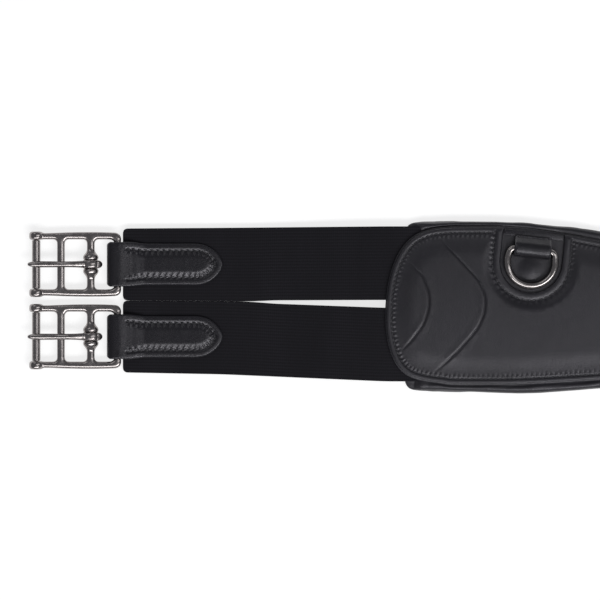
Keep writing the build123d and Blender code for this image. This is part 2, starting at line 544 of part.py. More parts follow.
def build():
    """Every node of the girth, by name."""
    nodes = {
        "lining": lining(),
        "foam_pad": foam_pad(),
        "web_front": web(WEB_FRONT_Y),
        "web_rear": web(WEB_REAR_Y),
        "stiffener": stiffener(),
        "base_leather": base_leather(),
        "outer_panel": outer_panel(),
    }
    for name, end in (("left", -1), ("right", 1)):
        nodes[f"ring_{name}"] = ring(end)
        nodes[f"ring_loop_{name}"] = ring_loop(end)
    buckle_lift = Pos(CHAPE_BAR_FROM_MOUTH, 0, BUCKLE_CENTRE_Z)
    shared = {
        "chape": chape(),
        "buckle_frame": buckle_lift * buckle_frame(),
        "roller_pin": buckle_lift * roller_pin(),
        "roller": buckle_lift * roller(),
        "tongue": buckle_lift * tongue(),
    }
    for strap, end, buckle_y, mouth_offset in strap_frames():
        nodes[f"elastic_{strap}"] = place_strap(elastic(mouth_offset), end, buckle_y)
        for piece, solid in shared.items():
            nodes[f"{piece}_{strap}"] = place_strap(solid, end, buckle_y)
    return nodes


def main():
    """Writes one STEP file for each node."""
    os.makedirs("parts", exist_ok=True)
    for name, solid in build().items():
        solid.label = name
        export_step(solid, f"parts/{name}.step")
        box = solid.bounding_box()
        print(f"{name}: {box.size.X:.1f} x {box.size.Y:.1f} x {box.size.Z:.1f} mm")


if __name__ == "__main__":
    main()
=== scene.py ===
"""Looks of a long elasticated saddle girth: padded black leather, elastic straps, roller buckles and rings.

Lengths are in metres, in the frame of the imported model: X runs along the girth, +Y is the edge that carries
the rings, and Z = 0 is the underside of the lining.
"""

import json
import logging
import math
from dataclasses import dataclass, field
from enum import Enum
from typing import Callable, Sequence

import bpy
import numpy as np
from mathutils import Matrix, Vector, geometry, noise
from mathutils.kdtree import KDTree


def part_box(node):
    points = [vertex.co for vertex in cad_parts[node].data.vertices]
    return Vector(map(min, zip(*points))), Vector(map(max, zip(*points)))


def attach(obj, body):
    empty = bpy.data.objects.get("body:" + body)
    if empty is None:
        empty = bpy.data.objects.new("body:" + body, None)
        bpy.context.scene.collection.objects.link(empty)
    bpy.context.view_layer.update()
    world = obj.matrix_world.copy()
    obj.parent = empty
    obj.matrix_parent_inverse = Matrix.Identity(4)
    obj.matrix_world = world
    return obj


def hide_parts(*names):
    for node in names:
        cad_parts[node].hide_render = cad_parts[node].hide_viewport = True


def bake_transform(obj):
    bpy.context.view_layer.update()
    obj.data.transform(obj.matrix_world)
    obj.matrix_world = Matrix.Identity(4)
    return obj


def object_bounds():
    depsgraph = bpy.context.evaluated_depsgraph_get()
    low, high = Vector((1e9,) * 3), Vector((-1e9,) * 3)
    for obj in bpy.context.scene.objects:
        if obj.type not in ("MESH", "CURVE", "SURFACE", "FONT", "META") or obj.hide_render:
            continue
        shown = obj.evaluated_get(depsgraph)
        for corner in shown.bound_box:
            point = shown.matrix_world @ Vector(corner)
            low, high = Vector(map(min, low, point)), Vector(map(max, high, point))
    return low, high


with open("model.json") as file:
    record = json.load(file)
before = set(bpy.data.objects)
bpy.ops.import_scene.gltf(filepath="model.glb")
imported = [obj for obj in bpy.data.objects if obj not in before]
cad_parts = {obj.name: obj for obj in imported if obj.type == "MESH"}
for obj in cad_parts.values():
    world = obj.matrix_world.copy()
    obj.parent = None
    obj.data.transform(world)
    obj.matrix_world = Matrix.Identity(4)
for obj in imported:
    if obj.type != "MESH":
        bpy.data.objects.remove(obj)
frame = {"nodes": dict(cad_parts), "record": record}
CAD_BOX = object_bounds()

MM = 0.001
LOG = logging.getLogger("girth")

Points = np.ndarray
Colour = tuple[float, float, float, float]


class Slot(Enum):
    """The record's material slot names."""

    BODY = "body_leather"
    LINING = "lining_leather"
    STRAP = "strap_leather"
    ELASTIC = "elastic"
    BUCKLE = "buckle_steel"


class Back(Enum):
    """How the flesh side of a leather piece is made."""

    FLAT = "flat"
    FOLLOWING = "following"


# ---------------------------------------------------------------- small tools
def deselect_all() -> None:
    """Leaves object mode with nothing selected."""
    if bpy.context.object is not None and bpy.context.object.mode != "OBJECT":
        bpy.ops.object.mode_set(mode="OBJECT")
    bpy.ops.object.select_all(action="DESELECT")


def pick(piece: bpy.types.Object) -> None:
    """Makes a piece the only selected and the active one."""
    deselect_all()
    piece.select_set(True)
    bpy.context.view_layer.objects.active = piece


def mesh_piece(name: str, places: Points, faces: Sequence[Sequence[int]]) -> bpy.types.Object:
    """Puts a mesh at the origin.

    Args:
        name: the piece's name.
        places: one row of three coordinates for each vertex.
        faces: vertex numbers of each face.

    Returns:
        The new object, linked to the scene.
    """
    mesh = bpy.data.meshes.new(name)
    mesh.from_pydata([tuple(map(float, p)) for p in places], [], [tuple(map(int, f)) for f in faces])
    mesh.update()
    piece = bpy.data.objects.new(name, mesh)
    bpy.context.scene.collection.objects.link(piece)
    return piece


def places_of(piece: bpy.types.Object) -> Points:
    """A mesh's vertex places, one row each."""
    flat = np.empty(len(piece.data.vertices) * 3)
    piece.data.vertices.foreach_get("co", flat)
    return flat.reshape(-1, 3)


def move_points(piece: bpy.types.Object, places: Points) -> None:
    """Gives a mesh's vertices new places."""
    piece.data.vertices.foreach_set("co", np.asarray(places, float).ravel())
    piece.data.update()


def settle_transform(piece: bpy.types.Object) -> None:
    """Applies a piece's place, turn and size, so that its object sits at the origin."""
    pick(piece)
    bpy.ops.object.transform_apply(location=True, rotation=True, scale=True)


def close_normals(piece: bpy.types.Object, angle: float = 40.0) -> None:
    """Merges doubles, turns the faces outwards and shades them smooth below an angle in degrees."""
    pick(piece)
    bpy.ops.object.mode_set(mode="EDIT")
    bpy.ops.mesh.select_all(action="SELECT")
    bpy.ops.mesh.remove_doubles(threshold=1e-7)
    bpy.ops.mesh.normals_make_consistent(inside=False)
    bpy.ops.object.mode_set(mode="OBJECT")
    bpy.ops.object.shade_smooth_by_angle(angle=math.radians(angle))


def point_values(piece: bpy.types.Object, name: str, values: Points) -> None:
    """Stores one number for each vertex, which materials read by name."""
    attribute = piece.data.attributes.new(name, "FLOAT", "POINT")
    attribute.data.foreach_set("value", np.asarray(values, np.float32))


def copy_piece(piece: bpy.types.Object, name: str, places: Points, mirrored: bool) -> bpy.types.Object:
    """Copies a piece with a mesh of its own.

    Args:
        piece: the piece to copy.
        name: the copy's name.
        places: where the copy's vertices go.
        mirrored: whether those places turn the shape inside out, so that its faces must be turned back.

    Returns:
        The copy.
    """
    twin = bpy.data.objects.new(name, piece.data.copy())
    twin.data.name = name
    bpy.context.scene.collection.objects.link(twin)
    move_points(twin, places)
    if mirrored:
        pick(twin)
        bpy.ops.object.mode_set(mode="EDIT")
        bpy.ops.mesh.select_all(action="SELECT")
        bpy.ops.mesh.flip_normals()
        bpy.ops.object.mode_set(mode="OBJECT")
    return twin


def finish_piece(piece: bpy.types.Object, material: bpy.types.Material) -> None:
    """Dresses a piece in its material."""
    piece.data.materials.clear()
    piece.data.materials.append(material)


def report(piece: bpy.types.Object) -> None:
    """Logs a finished piece and how many faces it has."""
    LOG.info("%s: %d faces", piece.name, len(piece.data.polygons))


def hand_over(piece: bpy.types.Object, material: bpy.types.Material, body: str) -> None:
    """Dresses a piece, lets it ride on its body and reports it."""
    finish_piece(piece, material)
    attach(piece, body)
    report(piece)


def joint_of(name: str) -> dict:
    """The record's joint with that name."""
    return next(j for j in frame["record"]["behaviour"]["joints"] if j["name"] == name)


def smooth_step(value: Points) -> Points:
    """0 below 0, 1 above 1, and an even slope between."""
    t = np.clip(value, 0, 1)
    return t * t * (3 - 2 * t)


def bell(distance: Points, width: float) -> Points:
    """1 where the distance is 0, falling to nothing over about two widths."""
    return np.exp(-((distance / width) ** 2))


def drift(where: Points, size: float, seed: float) -> Points:
    """Slow uneven change over a surface, from about -1 to 1.

    Args:
        where: flat places, two coordinates each.
        size: distance over which the value changes, in metres.
        seed: picks one pattern.

    Returns:
        One number for each place.
    """
    return np.array([noise.noise(Vector((x / size, y / size, seed))) for x, y in where])


# ---------------------------------------------------------------- outlines taken from the frame
def loops_at(node: str, height: float) -> list[Points]:
    """Closed outlines of a CAD node's section at one level.

    Args:
        node: the CAD node's name.
        height: the level, in metres.

    Returns:
        Loops of flat points, the longest first, each anticlockwise.
    """
    mesh = frame["nodes"][node].data
    mesh.calc_loop_triangles()
    corners = np.array([v.co for v in mesh.vertices], float)
    links: dict[tuple[int, int], list[tuple[int, int]]] = {}
    spots: dict[tuple[int, int], Points] = {}
    for triangle in mesh.loop_triangles:
        cut = []
        ring = [corners[i] for i in triangle.vertices]
        for a, b in zip(ring, ring[1:] + ring[:1]):
            if (a[2] < height) != (b[2] < height):
                low, high = (a, b) if a[2] < b[2] else (b, a)
                spot = low + (high - low) * (height - low[2]) / (high[2] - low[2])
                key = (round(spot[0] / 2e-6), round(spot[1] / 2e-6))
                spots[key] = spot[:2]
                cut.append(key)
        if len(cut) == 2 and cut[0] != cut[1]:
            links.setdefault(cut[0], []).append(cut[1])
            links.setdefault(cut[1], []).append(cut[0])
    loops, seen = [], set()
    for start in links:
        if start in seen:
            continue
        walk, here = [], start
        while here is not None and here not in seen:
            seen.add(here)
            walk.append(spots[here])
            here = next((k for k in links[here] if k not in seen), None)
        loop = np.array(walk)
        if signed_area(loop) < 0:
            loop = loop[::-1]
        loops.append(loop)
    return sorted(loops, key=lambda p: -np.hypot(*(p - np.roll(p, -1, 0)).T).sum())


def signed_area(loop: Points) -> float:
    """Area inside a closed loop, positive when it runs anticlockwise."""
    x, y = loop.T
    return 0.5 * float((x * np.roll(y, -1) - y * np.roll(x, -1)).sum())


def split_at_corners(loop: Points, angle: float) -> list[Points]:
    """Cuts a closed loop at its sharp corners.

    Args:
        loop: closed outline.
        angle: smallest turn of a sharp corner, in degrees.

    Returns:
        Open runs, each from one sharp corner to the next, or the whole loop closed up if it has none.
    """
    before, after = loop - np.roll(loop, 1, 0), np.roll(loop, -1, 0) - loop
    cross = before[:, 0] * after[:, 1] - before[:, 1] * after[:, 0]
    turn = np.degrees(np.abs(np.arctan2(cross, (before * after).sum(1))))
    sharp = np.flatnonzero(turn > angle)
    if len(sharp) == 0:
        return [np.vstack([loop, loop[:1]])]
    turned = np.roll(loop, -sharp[0], 0)
    cuts = [*(sharp - sharp[0]), len(loop)]
    closed = np.vstack([turned, turned[:1]])
    return [closed[a:b + 1] for a, b in zip(cuts, cuts[1:])]


def even_run(run: Points, step: float) -> Points:
    """The same open run with points an even step apart, both ends kept."""
    lengths = np.hypot(*np.diff(run, axis=0).T)
    keep = np.concatenate([[True], lengths > 1e-7])
    run = run[keep]
    along = np.concatenate([[0], np.cumsum(np.hypot(*np.diff(run, axis=0).T))])
    count = max(int(round(along[-1] / step)), 1)
    at = np.linspace(0, along[-1], count + 1)
    return np.column_stack([np.interp(at, along, run[:, 0]), np.interp(at, along, run[:, 1])])


def rounded_run(run: Points, reach: float) -> Points:
    """An even run whose bends are eased over a short reach, with its ends kept."""
    step = float(np.hypot(*(run[1] - run[0])))
    half = max(int(reach / step), 1)
    weights = np.hanning(2 * half + 3)[1:-1]
    weights /= weights.sum()
    padded = np.vstack([2 * run[0] - run[half:0:-1], run, 2 * run[-1] - run[-2:-half - 2:-1]])
    return np.column_stack([np.convolve(padded[:, i], weights, "valid") for i in (0, 1)])


@dataclass
class Seam:
    """A run that a seam or an edge follows, with distances measured from it."""

    points: Points
    along: Points = field(init=False)
    tree: KDTree = field(init=False)

    def __post_init__(self) -> None:
        """Measures the run and sorts its points for quick searches."""
        self.along = np.concatenate([[0], np.cumsum(np.hypot(*np.diff(self.points, axis=0).T))])
        self.tree = KDTree(len(self.points))
        for number, (x, y) in enumerate(self.points):
            self.tree.insert((x, y, 0), number)
        self.tree.balance()

    def measure(self, where: Points) -> tuple[Points, Points]:
        """How far places lie from the run, and how far along it.

        Args:
            where: flat places, two coordinates each.

        Returns:
            Distances from the run, and distances along it.
        """
        nearest = np.array([self.tree.find((x, y, 0))[1] for x, y in where])
        best, best_along = np.full(len(where), np.inf), np.zeros(len(where))
        for shift in (-1, 0):
            i = np.clip(nearest + shift, 0, len(self.points) - 2)
            start, run = self.points[i], self.points[i + 1] - self.points[i]
            share = np.clip(((where - start) * run).sum(1) / np.maximum((run * run).sum(1), 1e-18), 0, 1)
            distance = np.hypot(*(where - start - share[:, None] * run).T)
            closer = distance < best
            best = np.where(closer, distance, best)
            here = self.along[i] + share * (self.along[i + 1] - self.along[i])
            best_along = np.where(closer, here, best_along)
        return best, best_along

    def beside(self, depth: float, step: float) -> Points:
        """A row of points to the left of the run.

        Args:
            depth: how far to the left.
            step: distance between points along the run.

        Returns:
            The row's points.
        """
        run = even_run(self.points, step)
        ahead = np.gradient(run, axis=0)
        ahead /= np.maximum(np.hypot(*ahead.T), 1e-12)[:, None]
        return run + depth * np.column_stack([-ahead[:, 1], ahead[:, 0]])


def thin_out(points: Points, kept: Points, gap: float) -> Points:
    """Leaves out the points that lie too near an earlier one.

    Args:
        points: candidates, the more important first.
        kept: points that stay anyway.
        gap: smallest distance between two points.

    Returns:
        The candidates that stay.
    """
    cells: dict[tuple[int, int], list[tuple[float, float]]] = {}

    def cell(x: float, y: float) -> tuple[int, int]:
        """The square a point falls in."""
        return int(math.floor(x / gap)), int(math.floor(y / gap))

    for x, y in kept:
        cells.setdefault(cell(x, y), []).append((x, y))
    stay = []
    for x, y in points:
        i, j = cell(x, y)
        near = (p for a in (i - 1, i, i + 1) for b in (j - 1, j, j + 1) for p in cells.get((a, b), ()))
        if all((x - a) ** 2 + (y - b) ** 2 >= gap * gap for a, b in near):
            cells.setdefault((i, j), []).append((x, y))
            stay.append((x, y))
    return np.array(stay).reshape(-1, 2)


def grid_points(low: Points, high: Points, step: float) -> Points:
    """Points of an even grid between two corners, every other row shifted by half a step."""
    rows = []
    for number, y in enumerate(np.arange(low[1], high[1], step * 0.87)):
        x = np.arange(low[0] + (number % 2) * step / 2, high[0], step)
        rows.append(np.column_stack([x, np.full_like(x, y)]))
    return np.vstack(rows)


# ---------------------------------------------------------------- finishes
class NodeSheet:
    """Lays out the nodes of one material."""

    def __init__(self, name: str) -> None:
        """Starts an empty material.

        Args:
            name: the material's name.
        """
        self.material = bpy.data.materials.new(name)
        self.material.use_nodes = True
        self.tree = self.material.node_tree
        self.tree.nodes.clear()

    def add(self, kind: str, inputs: dict | None = None, **settings: object) -> bpy.types.Node:
        """Adds a node.

        Args:
            kind: the node's type, without its ShaderNode prefix.
            inputs: values or sockets for its inputs, by name or number.
            settings: the node's own properties.

        Returns:
            The node.
        """
        node = self.tree.nodes.new("ShaderNode" + kind)
        for name, value in settings.items():
            setattr(node, name, value)
        for name, value in (inputs or {}).items():
            if isinstance(value, bpy.types.NodeSocket):
                self.tree.links.new(value, node.inputs[name])
            else:
                node.inputs[name].default_value = value
        return node

    def millimetres(self, stretch: tuple[float, float, float] = (1, 1, 1)) -> bpy.types.NodeSocket:
        """Object coordinates in millimetres, squeezed by a factor along each axis."""
        place = self.add("TexCoord").outputs["Object"]
        scale = tuple(s / MM for s in stretch)
        return self.add("Mapping", {"Vector": place, "Scale": scale}).outputs["Vector"]

    def uneven(self, place: bpy.types.NodeSocket, scale: float, detail: float = 3) -> bpy.types.NodeSocket:
        """Soft noise, from about 0.3 to 0.7."""
        return self.add("TexNoise", {"Vector": place, "Scale": scale, "Detail": detail}).outputs[0]

    def ramp(self, value: bpy.types.NodeSocket, low: float, high: float, start: float = 0,
             end: float = 1) -> bpy.types.NodeSocket:
        """Carries a value from one range to another, without passing its ends."""
        node = self.add("MapRange", {"Value": value, "From Min": low, "From Max": high,
                                     "To Min": start, "To Max": end})
        return node.outputs["Result"]

    def math(self, operation: str, *values: object) -> bpy.types.NodeSocket:
        """Result of one sum on values or sockets."""
        return self.add("Math", dict(enumerate(values)), operation=operation).outputs[0]

    def blend(self, share: object, first: object, second: object) -> bpy.types.NodeSocket:
        """Mix of two colours."""
        node = self.add("Mix", {0: share, 6: first, 7: second}, data_type="RGBA")
        return node.outputs[2]

    def bump(self, height: bpy.types.NodeSocket, depth: float, strength: float = 1,
             under: bpy.types.NodeSocket | None = None) -> bpy.types.NodeSocket:
        """Small relief of a given depth in metres, on top of another one."""
        inputs = {"Height": height, "Distance": depth, "Strength": strength}
        if under is not None:
            inputs["Normal"] = under
        return self.add("Bump", inputs).outputs[0]

    def surface(self, inputs: dict) -> bpy.types.Material:
        """Ends the material in one principled surface.

        Args:
            inputs: the surface's values or sockets, by name.

        Returns:
            The finished material.
        """
        shader = self.add("BsdfPrincipled", inputs)
        self.add("OutputMaterial", {"Surface": shader.outputs[0]})
        return self.material


@dataclass(frozen=True)
class GrainLeather:
    """Smooth dressed leather with a fine pebbled grain, and burnished cut edges painted paler, partly for
    edge wear and partly as a painted highlight.
    """

    name: str
    colour: Colour = (0.0054, 0.0052, 0.0070, 1)
    bloom: Colour = (0.0100, 0.0096, 0.0126, 1)
    # edge: the rim's paler colour, partly burnished edge wear and partly a painted highlight along the cut
    # edge
    edge: Colour = (0.022, 0.0215, 0.026, 1)
    roughness: float = 0.40
    grain_size: float = 0.75
    grain_depth: float = 0.05 * MM

    def material(self) -> bpy.types.Material:
        """Lays out the leather: grain cells, pores, long soft creases, and a smoother rim painted paler,
        partly as edge wear and partly as a painted highlight.
        """
        sheet = NodeSheet(self.name)
        place = sheet.millimetres()
        broad = sheet.uneven(place, 0.035)
        fine = sheet.uneven(place, 1.7, 5)
        cells = sheet.add("TexVoronoi", {"Vector": place, "Scale": 1 / self.grain_size},
                          feature="DISTANCE_TO_EDGE")
        pebble = sheet.ramp(cells.outputs["Distance"], 0, 0.22)
        creases = sheet.uneven(sheet.millimetres((1, 0.35, 1)), 0.22, 6)
        rim = sheet.add("Attribute", attribute_name="rim").outputs["Fac"]
        tone = sheet.blend(sheet.ramp(broad, 0.36, 0.66), self.colour, self.bloom)
        tone = sheet.blend(sheet.ramp(fine, 0.35, 0.75, 0, 0.35), tone, self.bloom)
        # Rim painted paler: partly burnished edge wear, partly a painted highlight along the rounded edge.
        tone = sheet.blend(sheet.math("MULTIPLY", rim, 0.8), tone, self.edge)
        worn = sheet.ramp(broad, 0.35, 0.65, self.roughness + 0.05, self.roughness - 0.05)
        rough = sheet.math("ADD", worn, sheet.ramp(fine, 0.3, 0.7, -0.05, 0.06))
        rough = sheet.math("SUBTRACT", rough, sheet.math("MULTIPLY", rim, 0.16))
        relief = sheet.bump(creases, 0.35 * MM, 0.35)
        relief = sheet.bump(pebble, self.grain_depth, 0.55, relief)
        relief = sheet.bump(fine, 0.06 * MM, 0.4, relief)
        return sheet.surface({"Base Color": tone, "Roughness": rough, "Normal": relief,
                              "Specular Tint": (0.95, 0.93, 1, 1), "Coat Weight": 0.12,
                              "Coat Roughness": 0.28})


@dataclass(frozen=True)
class RibbedElastic:
    """Matt woven elastic: cross ribs between lengthwise rubber cords."""

    name: str
    colour: Colour = (0.0036, 0.0033, 0.0052, 1)
    # raised: colour of the weave's crests, a painted highlight over the painted shade of the darker grooves
    raised: Colour = (0.0118, 0.0110, 0.0152, 1)
    rib_pitch: float = 1.25
    cord_pitch: float = 1.9

    def material(self) -> bpy.types.Material:
        """Lays out the weave on the strap's own map, in millimetres along and across, with its crests painted
        lighter as a painted highlight.
        """
        sheet = NodeSheet(self.name)
        strap = sheet.add("UVMap", uv_map="strap").outputs["UV"]
        parts = sheet.add("SeparateXYZ", {0: strap})
        along, across = parts.outputs[0], parts.outputs[1]
        wobble = sheet.ramp(sheet.uneven(sheet.millimetres(), 0.5), 0.3, 0.7, -0.25, 0.25)
        rib = self.wave(sheet, sheet.math("ADD", along, wobble), self.rib_pitch)
        cord = self.wave(sheet, across, self.cord_pitch)
        weave = sheet.math("ADD", sheet.math("MULTIPLY", rib, 0.6), sheet.math("MULTIPLY", cord, 0.8))
        fibre = sheet.uneven(sheet.millimetres(), 4.5, 4)
        patch = sheet.uneven(sheet.millimetres((1, 0.25, 1)), 0.05, 4)
        # Crests of ribs and cords painted lighter as a painted highlight, grooves darker as painted shade;
        # the lengthwise patches are uneven tone.
        light = sheet.math("MULTIPLY", sheet.ramp(weave, 0.1, 1.3), sheet.ramp(patch, 0.3, 0.7, 0.45, 1))
        tone = sheet.blend(light, self.colour, self.raised)
        relief = sheet.bump(weave, 0.12 * MM, 0.6)
        relief = sheet.bump(fibre, 0.10 * MM, 0.6, relief)
        rough = sheet.ramp(fibre, 0.3, 0.7, 0.74, 0.92)
        return sheet.surface({"Base Color": tone, "Roughness": rough, "Normal": relief,
                              "Specular IOR Level": 0.22, "Sheen Weight": 0.05, "Sheen Roughness": 0.5})

    @staticmethod
    def wave(sheet: NodeSheet, value: bpy.types.NodeSocket, pitch: float) -> bpy.types.NodeSocket:
        """Even ridges from 0 to 1, one to each pitch in millimetres."""
        turned = sheet.math("SINE", sheet.math("MULTIPLY", value, 2 * math.pi / pitch))
        return sheet.ramp(turned, -1, 1)


@dataclass(frozen=True)
class CastSteel:
    """Polished cast steel with fine handling marks."""

    name: str
    colour: Colour = (0.36, 0.335, 0.33, 1)
    dull: Colour = (0.30, 0.278, 0.272, 1)
    roughness: float = 0.20
    grain: tuple[float, float, float] = (1, 1, 1)

    def material(self) -> bpy.types.Material:
        """Lays out the metal: cloudy polish, short scratches and slight casting unevenness."""
        sheet = NodeSheet(self.name)
        place = sheet.millimetres()
        cloud = sheet.uneven(place, 0.28, 4)
        marks = sheet.uneven(sheet.millimetres(self.grain), 2.4, 6)
        tone = sheet.blend(sheet.ramp(cloud, 0.35, 0.65), self.dull, self.colour)
        rough = sheet.math("ADD", sheet.ramp(cloud, 0.3, 0.7, self.roughness - 0.04, self.roughness + 0.07),
                           sheet.ramp(marks, 0.35, 0.7, -0.03, 0.05))
        relief = sheet.bump(cloud, 0.20 * MM, 0.06)
        relief = sheet.bump(marks, 0.006 * MM, 0.2, relief)
        return sheet.surface({"Base Color": tone, "Roughness": rough, "Normal": relief, "Metallic": 1.0})


@dataclass(frozen=True)
class WaxedThread:
    """Twisted bonded thread, lightly waxed."""

    name: str
    colour: Colour = (0.012, 0.012, 0.014, 1)
    # raised: lighter colour on the twist's raised strands, a painted highlight
    raised: Colour = (0.034, 0.034, 0.040, 1)

    def material(self) -> bpy.types.Material:
        """Lays out the thread: slanting twist, its raised strands painted lighter as a painted highlight, and
        stray fibres.
        """
        sheet = NodeSheet(self.name)
        place = sheet.millimetres((1, 0.8, 0.3))
        twist = sheet.add("TexWave", {"Vector": place, "Scale": 0.9, "Distortion": 1.5, "Detail": 2},
                          bands_direction="DIAGONAL").outputs["Fac"]
        fibre = sheet.uneven(sheet.millimetres(), 6, 3)
        # The twist's raised strands are painted lighter, a painted highlight.
        tone = sheet.blend(sheet.ramp(twist, 0.2, 0.9), self.colour, self.raised)
        relief = sheet.bump(fibre, 0.04 * MM, 0.5, sheet.bump(twist, 0.10 * MM, 0.8))
        return sheet.surface({"Base Color": tone, "Roughness": sheet.ramp(fibre, 0.3, 0.7, 0.42, 0.6),
                              "Normal": relief, "Specular IOR Level": 0.5})


@dataclass(frozen=True)
class InnerLayer:
    """Plain hidden layers: woven web, pressed board or foam, told apart by their weave or pores."""

    name: str
    colour: Colour
    other: Colour
    grain: tuple[float, float, float]
    scale: float

    def material(self) -> bpy.types.Material:
        """Lays out a fibrous surface."""
        sheet = NodeSheet(self.name)
        fibre = sheet.uneven(sheet.millimetres(self.grain), self.scale, 5)
        place = sheet.millimetres()
        pores = sheet.add("TexVoronoi", {"Vector": place, "Scale": self.scale}).outputs["Distance"]
        tone = sheet.blend(sheet.ramp(fibre, 0.3, 0.7), self.colour, self.other)
        relief = sheet.bump(pores, 0.1 * MM, 0.5, sheet.bump(fibre, 0.15 * MM, 0.7))
        rough = sheet.ramp(pores, 0, 1, 0.95, 0.75)
        return sheet.surface({"Base Color": tone, "Roughness": rough, "Normal": relief})


@dataclass(frozen=True)
class PaleFloor:
    """White floor that keeps the girth's shadow and shows as white to the camera."""

    name: str = "pale_floor"
    own_light: float = 0.74
    paint: Colour = (0.40, 0.40, 0.40, 1)

    def material(self) -> bpy.types.Material:
        """Lays out the floor: matt paint, and a light of its own that only the eye and reflections see."""
        sheet = NodeSheet(self.name)
        speck = sheet.uneven(sheet.millimetres(), 0.02, 2)
        duller = tuple(0.99 * c for c in self.paint[:3]) + (1,)
        tone = sheet.blend(sheet.ramp(speck, 0.3, 0.7), self.paint, duller)
        paint = sheet.add("BsdfDiffuse", {"Color": tone})
        path = sheet.add("LightPath")
        seen = sheet.math("MAXIMUM", path.outputs["Is Camera Ray"],
                          sheet.math("MAXIMUM", path.outputs["Is Glossy Ray"],
                                     path.outputs["Is Transmission Ray"]))
        strength = sheet.math("MULTIPLY", seen, self.own_light)
        glow = sheet.add("Emission", {"Color": (1, 1, 1, 1), "Strength": strength})
        both = sheet.add("AddShader", {0: paint.outputs[0], 1: glow.outputs[0]})
        sheet.add("OutputMaterial", {"Surface": both.outputs[0]})
        return sheet.material


# ---------------------------------------------------------------- leather pieces and thread
@dataclass
class LeatherSheet:
    """A cut piece of leather, drawn flat and then laid in place.

    Its points follow its outline and its seams in rows, which no primitive's grid does.
    """

    name: str
    outline: Points
    guides: Points
    thickness: float
    relief: Callable[[Points], Points]
    lay: Callable[[Points, Points], Points]
    back: Back = Back.FLAT
    smallest_gap: float = 0.22 * MM
    rim_width: float = 0.55 * MM

    def build(self) -> bpy.types.Object:
        """Makes the grain side, then the cut edge and the flesh side.

        Returns:
            The closed piece.
        """
        inner = thin_out(self.guides, self.outline, self.smallest_gap)
        border = Seam(np.vstack([self.outline, self.outline[:1]]))
        flat = np.vstack([self.outline, inner])
        rim = list(range(len(self.outline)))
        made = geometry.delaunay_2d_cdt([Vector(p) for p in flat], [], [rim], 1, 1e-8)
        places, faces = np.array([tuple(p) for p in made[0]]), made[2]
        height = self.thickness + self.relief(places)
        piece = mesh_piece(self.name, self.lay(places, height), faces)
        # The rim mask pales the cut edge in the leather's colour, partly as a painted highlight.
        point_values(piece, "rim", bell(border.measure(places)[0], self.rim_width))
        if self.back is Back.FLAT:
            self.close_flat(piece)
        else:
            self.thicken(piece)
        close_normals(piece, 50)
        return piece

    def close_flat(self, piece: bpy.types.Object) -> None:
        """Extrudes the border down to the flat flesh side and closes it."""
        pick(piece)
        base = self.lay(np.zeros((1, 2)), np.zeros(1))[0, 2]
        bpy.ops.object.mode_set(mode="EDIT")
        bpy.ops.mesh.select_mode(type="EDGE")
        bpy.ops.mesh.select_all(action="SELECT")
        bpy.ops.mesh.region_to_loop()
        bpy.ops.mesh.extrude_edges_move(TRANSFORM_OT_translate={"value": (0, 0, -self.thickness / 2)})
        bpy.ops.object.mode_set(mode="OBJECT")
        places = places_of(piece)
        chosen = np.array([v.select for v in piece.data.vertices])
        places[chosen, 2] = base
        move_points(piece, places)
        bpy.ops.object.mode_set(mode="EDIT")
        bpy.ops.mesh.edge_face_add()
        bpy.ops.object.mode_set(mode="OBJECT")

    def thicken(self, piece: bpy.types.Object) -> None:
        """Gives a folded piece its thickness, inwards from the grain side."""
        pick(piece)
        solidify = piece.modifiers.new("thickness", "SOLIDIFY")
        solidify.thickness = self.thickness
        solidify.offset = -1
        bpy.ops.object.modifier_apply(modifier=solidify.name)


